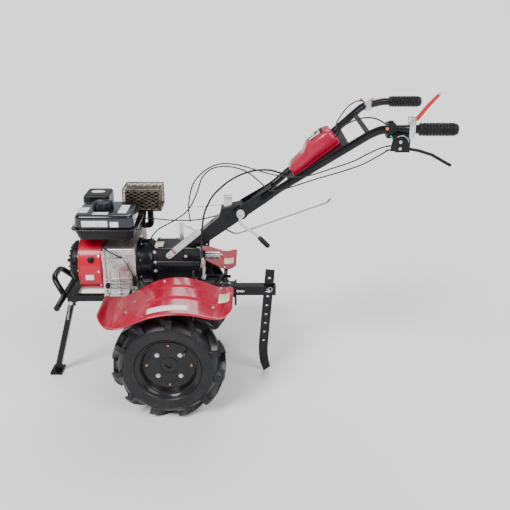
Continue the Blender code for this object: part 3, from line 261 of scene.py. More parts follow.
def coating(
    name, colour, shade, roughness, metallic=0.0, coat=0.0, grain=700.0, depth=0.00015,
    dust=0.12, wear=0.05, strength=0.35, ior=1.32,
):
    """Paint, casting or plastic: clouded colour, fine grain, scuffs and settled dust."""
    finish = Finish(name, coat=coat, ior=ior)
    cloud = finish.noise(11.0, 5.0)
    grit = finish.noise(grain, 2.0)
    blot = finish.noise(46.0, 7.0)
    scuff = finish.noise(60.0, 3.0, finish.stretched((0.25, 1.0, 3.2)))
    low = 1.0 - finish.height().above(0.03, 0.35)
    settled = finish.upward().above(0.3, 0.7) * 0.35 + low * 0.4
    dusty = blot.above(0.44, 0.30) * settled * dust
    scuffed = scuff.above(0.69, 0.05) * wear
    base = finish.blend(cloud.above(0.36, 0.3), colour, shade)
    base = finish.blend(scuffed, base, STEEL)
    base = finish.blend(dusty, base, DUST)
    rough = roughness + (blot - 0.5) * 0.16 + dusty * 0.5 + scuffed * 0.2
    finish.surface(base, rough, metallic)
    finish.relief(grit + cloud * 0.6, strength, depth)
    return finish.material


def tyre_rubber():
    """Black rubber, dull with pale dust low on the wheel and in the tread's roots."""
    finish = Finish("tyre_rubber_finish", ior=1.36)
    grit = finish.noise(520.0, 3.0)
    cloud = finish.noise(9.0, 6.0)
    stain = finish.noise(34.0, 8.0)
    fine = finish.noise(1500.0, 1.0)
    low = 1.0 - finish.height().above(0.0, 0.10)
    dusty = stain.above(0.50, 0.26) * (0.05 + low * 0.3)
    base = finish.blend(cloud.above(0.35, 0.35), (0.0085, 0.0090, 0.0105), (0.0150, 0.0155, 0.0170))
    base = finish.blend(dusty, base, (0.19, 0.17, 0.145))
    finish.surface(base, 0.33 + (stain - 0.5) * 0.14 + dusty * 0.3)
    finish.relief(grit * 0.6 + fine * 0.3 + cloud, 0.35, 0.0003)
    return finish.material


def cast_alloy():
    """Die-cast aluminium: warm silver, sandy grain, darker stains in its recesses."""
    finish = Finish("cast_alloy_finish")
    sand = finish.noise(850.0, 2.0)
    cloud = finish.noise(16.0, 6.0)
    stain = finish.noise(58.0, 7.0)
    dirty = stain.above(0.56, 0.14) * 0.35
    base = finish.blend(cloud.above(0.35, 0.3), (0.66, 0.64, 0.62), (0.46, 0.44, 0.42))
    base = finish.blend(dirty, base, (0.20, 0.16, 0.13))
    finish.surface(base, 0.33 + (cloud - 0.5) * 0.25 + dirty * 0.4, 0.85 - dirty)
    finish.relief(sand + stain * 0.4, 0.55, 0.0005)
    return finish.material


def plated(name, bright, dull, roughness):
    """Zinc or bare steel: brushed along X, with a patchy plated bloom."""
    finish = Finish(name)
    brushed = finish.noise(240.0, 2.0, finish.stretched((0.12, 1.0, 1.0)))
    bloom = finish.noise(38.0, 5.0)
    spots = finish.noise(120.0, 4.0).above(0.66, 0.06) * 0.5
    base = finish.blend(bloom.above(0.36, 0.3), bright, dull)
    base = finish.blend(spots, base, (0.20, 0.14, 0.09))
    finish.surface(base, roughness + (brushed - 0.5) * 0.2 + spots * 0.3, 0.95 - spots)
    finish.relief(brushed, 0.25, 0.0002)
    return finish.material


def heated_steel():
    """Expanded steel over a hot muffler: brown and gold temper colours."""
    finish = Finish("heated_steel_finish")
    heat = finish.noise(22.0, 4.0)
    soot = finish.noise(75.0, 6.0)
    base = finish.blend(heat.above(0.42, 0.2), (0.25, 0.215, 0.17), (0.11, 0.07, 0.04))
    base = finish.blend(soot.above(0.54, 0.12) * 0.8, base, (0.035, 0.03, 0.028))
    finish.surface(base, 0.38 + soot * 0.3, 0.8)
    finish.relief(soot, 0.3, 0.0003)
    return finish.material


def ribbed_rubber(name, colour, roughness):
    """Soft black rubber for grips and cable sheaths."""
    finish = Finish(name, sheen=0.05, ior=1.34)
    grit = finish.noise(900.0, 2.0)
    cloud = finish.noise(30.0, 5.0)
    shine = cloud.above(0.42, 0.25)
    base = finish.blend(shine, colour, tuple(2.2 * part for part in colour))
    finish.surface(base, roughness - shine * 0.12 + grit * 0.06)
    finish.relief(grit, 0.3, 0.0002)
    return finish.material


def sticker(name, colour, stain):
    """A blank printed label, faintly crazed and yellowed."""
    finish = Finish(name, coat=0.3)
    cloud = finish.noise(55.0, 5.0)
    speck = finish.noise(380.0, 3.0).above(0.66, 0.05) * 0.3
    base = finish.blend(cloud.above(0.4, 0.3), colour, stain)
    base = finish.blend(speck, base, (0.30, 0.28, 0.26))
    finish.surface(base, 0.32 + cloud * 0.2)
    finish.relief(cloud, 0.15, 0.0002)
    return finish.material


FINISHES = {}


def mix_finishes(colours):
    fender = tuple(colours.fender)
    fan = tuple(colours.fan)
    tank = tuple(colours.tank)
    label = tuple(colours.label)
    FINISHES["fender"] = coating(
        "fender_red_finish", fender, tuple(0.88 * part for part in fender), 0.24, coat=0.5,
        depth=0.0001, dust=0.03, wear=0.01, strength=0.12, ior=1.45,
    )
    FINISHES["fan"] = coating(
        "fan_red_finish", fan, tuple(0.9 * part for part in fan), 0.30, coat=0.4, dust=0.03, wear=0.02
    )
    FINISHES["cover"] = coating(
        "cover_red_finish", (0.50, 0.012, 0.055), (0.44, 0.009, 0.045), 0.30, coat=0.4, dust=0.03
    )
    FINISHES["frame"] = coating(
        "frame_black_finish", (0.0035, 0.0040, 0.0055), (0.0075, 0.0080, 0.0100), 0.24,
        depth=0.00005, dust=0.02, wear=0.01, strength=0.1, ior=1.34,
    )
    FINISHES["tank"] = coating(
        "tank_black_finish", tank, tuple(1.3 * part for part in tank), 0.13, coat=0.9,
        depth=0.00005, dust=0.03, wear=0.0, strength=0.1,
    )
    FINISHES["gearbox"] = coating(
        "gearbox_grey_finish", (0.0060, 0.0070, 0.0085), (0.0120, 0.0130, 0.0150), 0.27,
        grain=420.0, depth=0.0001, dust=0.04, wear=0.01, strength=0.25, ior=1.36,
    )
    FINISHES["plastic"] = coating(
        "black_plastic_finish", (0.0065, 0.0067, 0.0075), (0.0110, 0.0112, 0.0125), 0.36, grain=1100.0,
        depth=0.0002, dust=0.04, wear=0.02,
    )
    FINISHES["shroud"] = coating(
        "shroud_black_finish", (0.0045, 0.0042, 0.0040), (0.0095, 0.0080, 0.0070), 0.42,
        depth=0.0001, dust=0.02, wear=0.02,
    )
    FINISHES["disc"] = coating(
        "rim_black_finish", (0.0050, 0.0052, 0.0060), (0.0100, 0.0102, 0.0110), 0.24, coat=0.2,
        depth=0.00005, dust=0.06, wear=0.02, strength=0.15,
    )
    FINISHES["pale"] = coating(
        "pale_lever_finish", (0.58, 0.59, 0.60), (0.50, 0.51, 0.53), 0.38, coat=0.2, dust=0.1,
        wear=0.05,
    )
    FINISHES["red_lever"] = coating(
        "red_lever_finish", (0.60, 0.015, 0.015), (0.48, 0.010, 0.012), 0.30, coat=0.4, dust=0.04
    )
    FINISHES["cap"] = coating(
        "cap_plastic_finish", (0.012, 0.015, 0.024), (0.020, 0.023, 0.034), 0.34, dust=0.04
    )
    FINISHES["tyre"] = tyre_rubber()
    FINISHES["alloy"] = cast_alloy()
    FINISHES["zinc"] = plated("zinc_finish", (0.74, 0.75, 0.77), (0.60, 0.62, 0.65), 0.30)
    FINISHES["steel"] = plated("bright_steel_finish", (0.62, 0.62, 0.63), (0.48, 0.48, 0.50), 0.27)
    FINISHES["copper"] = plated("copper_finish", (0.62, 0.34, 0.20), (0.45, 0.25, 0.15), 0.38)
    FINISHES["heated"] = heated_steel()
    FINISHES["grip"] = ribbed_rubber("grip_rubber_finish", (0.0060, 0.0060, 0.0070), 0.48)
    FINISHES["cable"] = ribbed_rubber("cable_sheath_finish", (0.0090, 0.0095, 0.0110), 0.38)
    FINISHES["label"] = sticker("label_finish", label, tuple(0.93 * part for part in label))
    FINISHES["cream"] = sticker("cream_label_finish", (0.78, 0.70, 0.48), (0.70, 0.62, 0.40))
    FINISHES["green"] = sticker("green_sleeve_finish", (0.03, 0.42, 0.16), (0.02, 0.34, 0.12))
    FINISHES["orange"] = sticker("orange_mark_finish", (0.80, 0.22, 0.04), (0.70, 0.18, 0.03))


# ---------------------------------------------------------------- shapes

SHARP = 0.7  # the least angle between two faces that a rounded block still eases


def turning(start, end):
    """The matrix that stands a Z-long shape between two points."""
    start = Vector(start)
    end = Vector(end)
    turn = (end - start).to_track_quat("Z", "Y").to_matrix().to_4x4()
    return Matrix.Translation((start + end) / 2) @ turn


class Shape:
    """A mesh in the making, from Blender's own mesh operators."""

    def __init__(self):
        self.bm = bmesh.new()

    def ease(self, edges, width, segments=2):
        """Rounds these edges."""
        bmesh.ops.bevel(
            self.bm, geom=list(edges), offset=width, offset_type="OFFSET", segments=segments,
            profile=0.5, affect="EDGES", clamp_overlap=True, material=-1,
        )

    def box(self, low, high, bevel=0.001, turn=None, foot=(1.0, 1.0), corner=0.0):
        """A block whose foot may be narrower than its top, with rounded upright corners."""
        low = Vector(low)
        high = Vector(high)
        size = Matrix.Diagonal((*(high - low), 1.0))
        place = Matrix.Translation((low + high) / 2) @ (turn or Matrix.Identity(4)) @ size
        verts = bmesh.ops.create_cube(self.bm, size=1.0)["verts"]
        for vert in verts:
            if vert.co.z < 0.0:
                vert.co.x *= foot[0]
                vert.co.y *= foot[1]
        bmesh.ops.transform(self.bm, matrix=place, verts=verts)
        edges = {edge for vert in verts for edge in vert.link_edges}
        if corner:
            half = 0.5 * (high.z - low.z)
            upright = [e for e in edges if abs(e.verts[0].co.z - e.verts[1].co.z) > half]
            others = set(self.bm.verts) - set(verts)
            self.ease(upright, corner, 6)
            rounded = [vert for vert in self.bm.verts if vert not in others]
            edges = {e for v in rounded for e in v.link_edges if e.calc_face_angle(0) > SHARP}
        if bevel:
            self.ease(edges, bevel, 4 if corner else 2)
        return self

    def drum(self, start, end, radius, sides=24, end_radius=None, bevel=0.0):
        """A round bar between two points, plain or narrowing."""
        made = bmesh.ops.create_cone(
            self.bm, cap_ends=True, segments=sides, radius1=radius,
            radius2=radius if end_radius is None else end_radius,
            depth=(Vector(end) - Vector(start)).length, matrix=turning(start, end),
        )
        if bevel:
            edges = {edge for vert in made["verts"] for edge in vert.link_edges}
            self.ease([e for e in edges if any(len(f.verts) == sides for f in e.link_faces)], bevel)
        return self

    def bolt(self, seat, outward, radius, height=None):
        """A hexagon head on a round flange."""
        seat = Vector(seat)
        outward = Vector(outward).normalized()
        height = height or radius * 0.75
        self.drum(seat, seat + outward * height * 0.25, radius * 1.25, 16)
        self.drum(seat, seat + outward * height, radius, 6, bevel=radius * 0.12)
        return self

    def spin(self, profile, centre, axis, steps=64, closed=True):
        """Turns (radius, distance along) points about an axis through the centre."""
        axis = Vector(axis).normalized()
        across = axis.orthogonal().normalized()
        centre = Vector(centre)
        verts = [self.bm.verts.new(centre + across * r + axis * a) for r, a in profile]
        pairs = list(zip(verts, verts[1:]))
        if closed:
            pairs.append((verts[-1], verts[0]))
        edges = [self.bm.edges.new(pair) for pair in pairs]
        bmesh.ops.spin(
            self.bm, geom=verts + edges, cent=centre, axis=axis, angle=math.tau, steps=steps,
            use_merge=True, use_duplicate=False,
        )
        return self

    def ring(self, sides, radius, capped, place=None):
        """The points of a circle, and the edges between them."""
        made = bmesh.ops.create_circle(
            self.bm, cap_ends=capped, segments=sides, radius=radius,
            matrix=place or Matrix.Identity(4),
        )
        edges = {edge for vert in made["verts"] for edge in vert.link_edges}
        return made["verts"], [e for e in edges if all(v in made["verts"] for v in e.verts)]

    def skin(self, rings):
        """Walls from each ring of edges to the next."""
        for first, second in zip(rings, rings[1:]):
            bmesh.ops.bridge_loops(self.bm, edges=first + second)
        return self

    def rod(self, points, radius, sides=10, end_radius=None):
        """A round bar along points, from rings that are bridged."""
        points = [Vector(point) for point in points]
        last = len(points) - 1
        turn = None
        before = None
        rings = []
        for i, point in enumerate(points):
            ahead = points[min(i + 1, last)] - points[max(i - 1, 0)]
            ahead.normalize()
            if turn is None:
                turn = ahead.to_track_quat("Z", "Y")
            else:
                turn = before.rotation_difference(ahead) @ turn
            before = ahead
            size = radius if end_radius is None else radius + (end_radius - radius) * (i / last)
            place = Matrix.Translation(point) @ turn.to_matrix().to_4x4()
            rings.append(self.ring(sides, size, i in (0, last), place)[1])
        return self.skin(rings)

    def copies(self, mesh, places):
        """Adds a finished small mesh at each of these matrices."""
        for place in places:
            before = len(self.bm.verts)
            self.bm.from_mesh(mesh)
            self.bm.verts.ensure_lookup_table()
            bmesh.ops.transform(self.bm, matrix=place, verts=self.bm.verts[before:])
        return self

    def mesh(self, name):
        bmesh.ops.remove_doubles(self.bm, verts=self.bm.verts, dist=0.000004)
        bmesh.ops.recalc_face_normals(self.bm, faces=self.bm.faces)
        made = bpy.data.meshes.new(name)
        self.bm.to_mesh(made)
        self.bm.free()
        return made

    def piece(self, name, body, finish, smooth=35, replaces=()):
        """Ends the shape: an object at the origin that rides on its body."""
        return settle(name, self.mesh(name), body, finish, smooth, replaces)


def settle(name, mesh, body, finish, smooth=35, replaces=()):
    mesh.shade_smooth()
    mesh.set_sharp_from_angle(angle=math.radians(smooth))
    mesh.materials.clear()
    mesh.materials.append(FINISHES[finish])
    obj = bpy.data.objects.new(name, mesh)
    bpy.context.scene.collection.objects.link(obj)
    if body:
        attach(obj, body)
    if replaces:
        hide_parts(*replaces)
    return obj


def refined(node, finish, body="machine", bevel=0.0, segments=2, smooth=35):
    """The CAD node's own solid as one merged mesh with eased edges and soft shading."""
    bm = bmesh.new()
    bm.from_mesh(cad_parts[node].data)
    bmesh.ops.remove_doubles(bm, verts=bm.verts, dist=0.00001)
    bmesh.ops.dissolve_limit(bm, angle_limit=math.radians(0.8), verts=bm.verts, edges=bm.edges)
    mesh = bpy.data.meshes.new(f"{node}_body")
    bm.to_mesh(mesh)
    bm.free()
    obj = settle(f"{node}_body", mesh, body, finish, smooth, (node,))
    if bevel:
        mesh.set_sharp_from_angle(angle=math.pi)
        eased = obj.modifiers.new("eased", "BEVEL")
        eased.width = bevel
        eased.segments = segments
        eased.limit_method = "ANGLE"
        eased.angle_limit = math.radians(32)
        weighted = obj.modifiers.new("weighted", "WEIGHTED_NORMAL")
        weighted.keep_sharp = True
    return obj


def smooth_line(points, steps=6):
    """Points on a smooth curve through the given ones."""
    points = [Vector(point) for point in points]
    ends = [points[0] * 2 - points[1], *points, points[-1] * 2 - points[-2]]
    line = []
    for a, b, c, d in zip(ends, ends[1:], ends[2:], ends[3:]):
        for i in range(steps):
            t = i / steps
            line.append(0.5 * (
                2 * b + (c - a) * t + (2 * a - 5 * b + 4 * c - d) * t**2
                + (3 * b - a - 3 * c + d) * t**3
            ))
    line.append(points[-1])
    return line


def around_x(angle):
    """The direction at an angle about the machine's long axis."""
    return Vector((0.0, math.cos(angle), math.sin(angle)))


# ---------------------------------------------------------------- wheels

LUG_SWEEP = 0.34
TYRE_SECTION = [  # half of the carcass: distance from the middle plane, and radius
    (0.0400, 0.1040), (0.0455, 0.1185), (0.0482, 0.1222), (0.0518, 0.1240), (0.0530, 0.1255),
    (0.0524, 0.1270), (0.0543, 0.1330), (0.0556, 0.1410), (0.0560, 0.1490), (0.0553, 0.1570),
    (0.0540, 0.1612), (0.0552, 0.1624), (0.0555, 0.1645), (0.0540, 0.1672), (0.0505, 0.1700),
    (0.0470, 0.1745), (0.0415, 0.1795),
    (0.0320, 0.1835), (0.0180, 0.1860), (0.0, 0.1868),
]


def lug_mesh(radius):
    """One chevron lug, from the tread's middle out over the shoulder and down the side."""
    crest = (
        (-0.004, radius), (0.012, radius), (0.028, radius - 0.0005), (0.041, radius - 0.0025),
        (0.0495, radius - 0.008), (0.0540, radius - 0.016), (0.0557, radius - 0.026),
        (0.0559, radius - 0.037),
    )
    root = (
        (-0.004, 0.1800), (0.012, 0.1800), (0.028, 0.1780), (0.038, 0.1750), (0.043, 0.1710),
        (0.0455, 0.1690), (0.0475, 0.1675), (0.0500, 0.1660),
    )
    steps = len(crest) - 1
    shape = Shape()
    bm = shape.bm
    bmesh.ops.create_cube(bm, size=1.0, matrix=Matrix.Translation((0.5, 0.0, 0.5)))
    long_edges = [e for e in bm.edges if abs(e.verts[0].co.x - e.verts[1].co.x) > 0.5]
    bmesh.ops.subdivide_edges(bm, edges=long_edges, cuts=steps - 1, use_grid_fill=True)
    for vert in bm.verts:
        station = round(vert.co.x * steps)
        across, reach = (crest if vert.co.z > 0.5 else root)[station]
        half = (0.0095 + 0.0035 * station / steps) * (1.0 if vert.co.z > 0.5 else 1.35)
        angle = LUG_SWEEP * min(1.0, across / 0.050) + vert.co.y * 2 * half / radius
        vert.co = (reach * math.sin(angle), across, reach * math.cos(angle))
    shape.ease([e for e in bm.edges if e.calc_face_angle(0.0) > math.radians(38)], 0.0016)
    return shape.mesh("lug")


def make_wheel(side, label, sizes):
    body = f"wheel_{label}"
    centre = middle(f"tyre_{label}")
    out = Vector((0.0, side, 0.0))
    half = [(radius, across) for across, radius in TYRE_SECTION]
    mirrored = [(radius, -across) for radius, across in reversed(half[:-1])]
    tyre = Shape().spin(half + mirrored, centre, out, 96)
    lug = lug_mesh(sizes.lug_height)
    turns = []
    for i in range(sizes.lug_pairs):
        step = math.tau / sizes.lug_pairs
        for across, phase in ((1, 0.0), (-1, 0.5)):
            turn = Matrix.Rotation((i + phase) * step, 4, "Y")
            turns.append(Matrix.Translation(centre) @ turn @ Matrix.Diagonal((1, across, 1, 1)))
    tyre.copies(lug, turns)
    tyre.piece(f"tyre_{label}_tread", body, "tyre", 40, (f"tyre_{label}",))

    face = 0.016
    rim = [
        (0.1213, 0.0470), (0.1165, 0.0420), (0.1080, 0.0360), (0.1030, 0.0290), (0.1016, 0.0220),
        (0.1016, -0.0340), (0.1080, -0.0390), (0.1195, -0.0455), (0.1206, -0.0478),
        (0.1180, -0.0485), (0.1060, -0.0420), (0.0986, -0.0350), (0.0986, face - 0.004),
        (0.0125, face - 0.004), (0.0125, face), (0.0300, face), (0.0308, face + 0.003),
        (0.0342, face + 0.003), (0.0350, face), (0.0660, face), (0.0690, face - 0.001),
        (0.0900, face - 0.001), (0.0950, face + 0.001), (0.0978, face + 0.006), (0.0992, 0.0300),
        (0.1020, 0.0350), (0.1075, 0.0410), (0.1150, 0.0470), (0.1190, 0.0496), (0.1208, 0.0494),
    ]
    Shape().spin(rim, centre, out, 96).piece(f"rim_{label}_disc", body, "disc", 28, (f"rim_{label}",))
    plate = centre + out * face
    nuts = Shape()
    for x, z in ((0.042, 0.043), (-0.042, 0.043), (-0.042, -0.043), (0.042, -0.043)):
        nuts.bolt(plate + Vector((x, 0.0, z)), out, 0.0068, 0.0065)
    nuts.piece(f"wheel_bolts_{label}", body, "zinc")
    rivets = Shape()
    for i in range(4):
        angle = i * math.pi / 2
        spot = plate + Vector((math.cos(angle), 0.0, math.sin(angle))) * 0.0825
        rivets.drum(spot - out * 0.002, spot + out * 0.0022, 0.0062, 18, 0.0036)
    rivets.piece(f"rim_rivets_{label}", body, "copper")
    foot = plate + Vector((0.055, 0.0, 0.040))
    valve = Shape()
    valve.rod([foot - out * 0.002, foot + out * 0.008 + Vector((0.003, 0, 0.006)),
               foot + out * 0.014 + Vector((0.007, 0, 0.019))], 0.0036, 12, 0.0028)
    valve.piece(f"valve_stem_{label}", body, "steel")
    tip = foot + out * 0.014 + Vector((0.007, 0, 0.019))
    cap = Shape().drum(tip, tip + out * 0.002 + Vector((0.003, 0, 0.008)), 0.0040, 12, bevel=0.0006)
    cap.piece(f"valve_cap_{label}", body, "plastic")
    refined(f"hub_{label}", "frame", body, 0.0008)
    refined(f"half_shaft_{label}", "disc", body)


# ---------------------------------------------------------------- fenders

FENDER_LINE = [  # distance along, and height above the axle
    (-0.217, 0.229), (-0.200, 0.209), (-0.168, 0.201), (-0.130, 0.214), (-0.085, 0.241),
    (-0.035, 0.267), (0.020, 0.281), (0.075, 0.282), (0.125, 0.271), (0.170, 0.253),
    (0.200, 0.243), (0.228, 0.243), (0.256, 0.253),
]
FENDER_CROWN = 0.037
FENDER_LEAN = {-1: 0.0, 1: 0.15}
FENDER_INNER = 0.148
FENDER_OUTER = 0.385
LEAN_START = -0.139
RIBS = ((0.060, -0.010, 0.155), (0.1345, -0.045, 0.195))  # from the inner edge; start; end
RIB_HALF = 0.0070
INNER_CORNER = 0.056
OUTER_CORNER = 0.040
HALF_SHEET = 0.0014
SHEET_LIP = 0.007
FENDER_BOLTS = ((-0.103, 0.084), (-0.127, 0.139), (0.207, 0.012), (0.187, 0.162), (0.0, 0.023))
FENDER_PATCHES = (  # name and finish; start and end along it; start and end from the inner edge
    ("fender_strip", "label", -0.044, 0.102, 0.180, 0.212),
    ("fender_label", "cream", 0.203, 0.243, 0.058, 0.128),
)


def fender_height(x, side, across):
    """Height of the sheet's middle at a place along it, a distance from its inner edge."""
    start = FENDER_LINE[0][0]
    end = FENDER_LINE[-1][0]
    line = smooth_line([(px, 0.0, pz) for px, pz in FENDER_LINE], 4)
    level = line[-1].z
    for first, second in zip(line, line[1:]):
        if x <= second.x:
            level = first.z + (second.z - first.z) * (x - first.x) / (second.x - first.x)
            break
    crown = FENDER_CROWN * math.sin(math.pi * (x - start) / (end - start))
    share = across / (FENDER_OUTER - FENDER_INNER)
    return AXLE.z + level - crown * share - FENDER_LEAN[side] * (x - LEAN_START)


def on_fender(x, across, side, lift=0.002):
    return at(x, side * (FENDER_INNER + across), fender_height(x, side, across) + lift)


def make_fender(side, label, sizes):
    width = FENDER_OUTER - FENDER_INNER
    start = FENDER_LINE[0][0]
    length = FENDER_LINE[-1][0] - start
    heights = {}
    sheet = Shape()
    bmesh.ops.create_grid(sheet.bm, x_segments=96, y_segments=62, size=0.5)
    for vert in sheet.bm.verts:
        along = vert.co.x + 0.5
        across = HALF_SHEET + (vert.co.y + 0.5) * (width - 2 * HALF_SHEET)
        x = start + along * length
        near_edge = min(across, width - across)
        corner = INNER_CORNER if across < width / 2 and along < 0.5 else OUTER_CORNER
        if near_edge < corner:  # the sheet's four corners are round
            pull = corner - math.sqrt(max(0.0, corner**2 - (corner - near_edge) ** 2))
            pull *= (0.5 + abs(along - 0.5)) if along > 0.5 and across < width / 2 else 1.0
            x += pull * (1 - 2 * along)
        key = round(x, 5)
        if key not in heights:
            heights[key] = (fender_height(x, side, 0.0), fender_height(x, side, width))
        inner, outer = heights[key]
        z = inner + (outer - inner) * across / width
        for rib_at, rib_start, rib_end in RIBS:
            past = max(rib_start - x, x - rib_end, 0.0)
            away = math.hypot(across - rib_at, past)
            if away < RIB_HALF:
                z += sizes.rib_height * 0.5 * (1 + math.cos(math.pi * away / RIB_HALF))
        lip = max(0.0, across - (width - SHEET_LIP)) / SHEET_LIP
        z -= 0.006 * lip**2
        vert.co = at(x, side * (FENDER_INNER + across), z)
    obj = sheet.piece(f"fender_{label}_sheet", "machine", "fender", 60, (f"fender_{label}",))
    walls = obj.modifiers.new("walls", "SOLIDIFY")
    walls.thickness = 0.0024
    walls.offset = 0.0
    bolts = Shape()
    for x, across in FENDER_BOLTS:
        bolts.bolt(on_fender(x, across, side, 0.0008), (0.0, 0.0, 1.0), 0.0048, 0.0042)
    bolts.piece(f"fender_bolts_{label}", "machine", "zinc")
    for name, finish, x0, x1, a0, a1 in FENDER_PATCHES:
        patch = Shape()
        bmesh.ops.create_grid(patch.bm, x_segments=14, y_segments=4, size=0.5)
        for vert in patch.bm.verts:
            x = x0 + (vert.co.x + 0.5) * (x1 - x0)
            vert.co = on_fender(x, a0 + (vert.co.y + 0.5) * (a1 - a0), side, 0.0018)
        obj = patch.piece(f"{name}_{label}", "machine", finish, 60)
        film = obj.modifiers.new("film", "SOLIDIFY")
        film.thickness = 0.0003


# ---------------------------------------------------------------- engine


def tilted(x, along, lift):
    """A place on the leaning cylinder: distance from the crankshaft, and height over its axis."""
    cosine = math.cos(CYLINDER_TILT)
    sine = math.sin(CYLINDER_TILT)
    return at(x, along * cosine - lift * sine, CRANK_Z + along * sine + lift * cosine)


def label_box(name, finish, low, high, turn=None):
    Shape().box(low, high, 0.0, turn).piece(name, "machine", finish)


TANK_LIP = 0.010
TANK_SEAM = AXLE.z + 0.4595
TANK_FLOOR = AXLE.z + 0.4155
TANK_LABELS = (  # on the left side: name, start and end along, foot and head over the axle
    ("tank_side_label", -0.300, -0.205, 0.471, 0.494),
    ("tank_small_label", -0.196, -0.165, 0.470, 0.490),
)
TANK_TOP_LABELS = (  # start and end along, start and end across
    (-0.318, -0.286, -0.080, -0.020), (-0.262, -0.206, -0.102, -0.076),
    (-0.172, -0.140, -0.085, 0.010),
)


def make_tank():
    low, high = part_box("fuel_tank")
    shell = Shape()
    shell.box((low.x + TANK_LIP + 0.006, low.y + TANK_LIP + 0.001, TANK_SEAM - 0.002),
              (high.x - TANK_LIP - 0.006, high.y - TANK_LIP - 0.001, high.z - 0.0005), 0.011,
              foot=(1.05, 1.0), corner=0.026)
    shell.box((low.x, low.y, TANK_SEAM - 0.002), (high.x, high.y, TANK_SEAM + 0.0022), 0.0011,
              corner=0.030)
    shell.piece("fuel_tank_shell", "machine", "tank", 50, ("fuel_tank",))
    tray = Shape()
    tray.box((low.x + TANK_LIP, low.y + TANK_LIP, TANK_FLOOR),
             (high.x - TANK_LIP, high.y - TANK_LIP, TANK_SEAM - 0.002), 0.006,
             foot=(0.88, 0.90), corner=0.024)
    for x in (-0.296, -0.176):
        tray.box(at(x, 0.000, low.z + 0.0005), at(x + 0.030, 0.050, TANK_FLOOR + 0.002), 0.002)
    tray.piece("fuel_tank_tray", "machine", "plastic", 50)
    left = low.y + TANK_LIP
    for name, start, end, foot, head in TANK_LABELS:
        label_box(name, "label", at(start, left - 0.0004, AXLE.z + foot),
                  at(end, left + 0.001, AXLE.z + head))
    for i, (x0, x1, y0, y1) in enumerate(TANK_TOP_LABELS, 1):
        label_box(f"tank_top_label_{i}", "label", at(x0, y0, high.z - 0.0005),
                  at(x1, y1, high.z + 0.0004))


def make_fuel_cap():
    low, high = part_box("fuel_cap")
    centre = (low + high) / 2
    radius = (high.x - low.x) / 2
    base = Vector((centre.x, centre.y, low.z))
    tall = high.z - low.z
    profile = [
        (0.0, 0.0), (radius - 0.009, 0.0), (radius - 0.0085, tall * 0.80),
        (radius - 0.0115, tall * 0.96), (radius - 0.016, tall), (radius - 0.020, tall - 0.003),
        (0.0, tall - 0.003),
    ]
    cap = Shape().spin(profile, base, (0, 0, 1), 64, closed=False)
    lobes = 10
    for i in range(lobes):
        angle = math.tau * i / lobes
        spot = base + Vector((math.cos(angle), math.sin(angle), 0.0)) * (radius - 0.0062)
        cap.drum(spot, spot + Vector((0, 0, tall * 0.86)), 0.0060, 14, 0.0052, bevel=0.0015)
    cap.piece("fuel_cap_lobed", "machine", "cap", 40, ("fuel_cap",))
    neck = Shape().spin(
        [(radius - 0.004, -0.0045), (radius + 0.001, -0.0045), (radius + 0.001, -0.0005),
         (radius - 0.004, -0.0002)], base, (0, 0, 1), 48,
    )
    neck.piece("filler_collar", "machine", "tank")


CASE_LEFT = -0.095
CASE_FRONT = -0.243
CASE_REAR = -0.115
CASE_WEBS = (  # each from one place to another: distance along, and height
    (-0.232, 0.585, -0.200, 0.545), (-0.132, 0.470, -0.160, 0.515), (-0.232, 0.470, -0.210, 0.500),
)
SENSOR_WIRES = (  # radius, then distance along, distance out of the wall and height
    (0.0024, ((-0.243, 0.004, 0.597), (-0.226, 0.010, 0.590), (-0.200, 0.011, 0.572),
              (-0.178, 0.009, 0.557), (-0.166, 0.002, 0.548))),
    (0.0020, ((-0.125, 0.004, 0.470), (-0.136, 0.010, 0.500), (-0.150, 0.009, 0.530),
              (-0.164, 0.003, 0.550))),
)
CYLINDER_X = -0.179


def left_pad(shape, start, end, foot, head, raised, bevel):
    """A block that stands out of the crankcase's left wall."""
    shape.box(at(start, CASE_LEFT - raised, foot), at(end, CASE_LEFT + 0.002, head), bevel)


def left_boss(shape, x, z, raised, radius, sides, bevel):
    """A round boss on the same wall."""
    shape.drum(at(x, CASE_LEFT - raised, z), at(x, CASE_LEFT + 0.002, z), radius, sides, bevel=bevel)


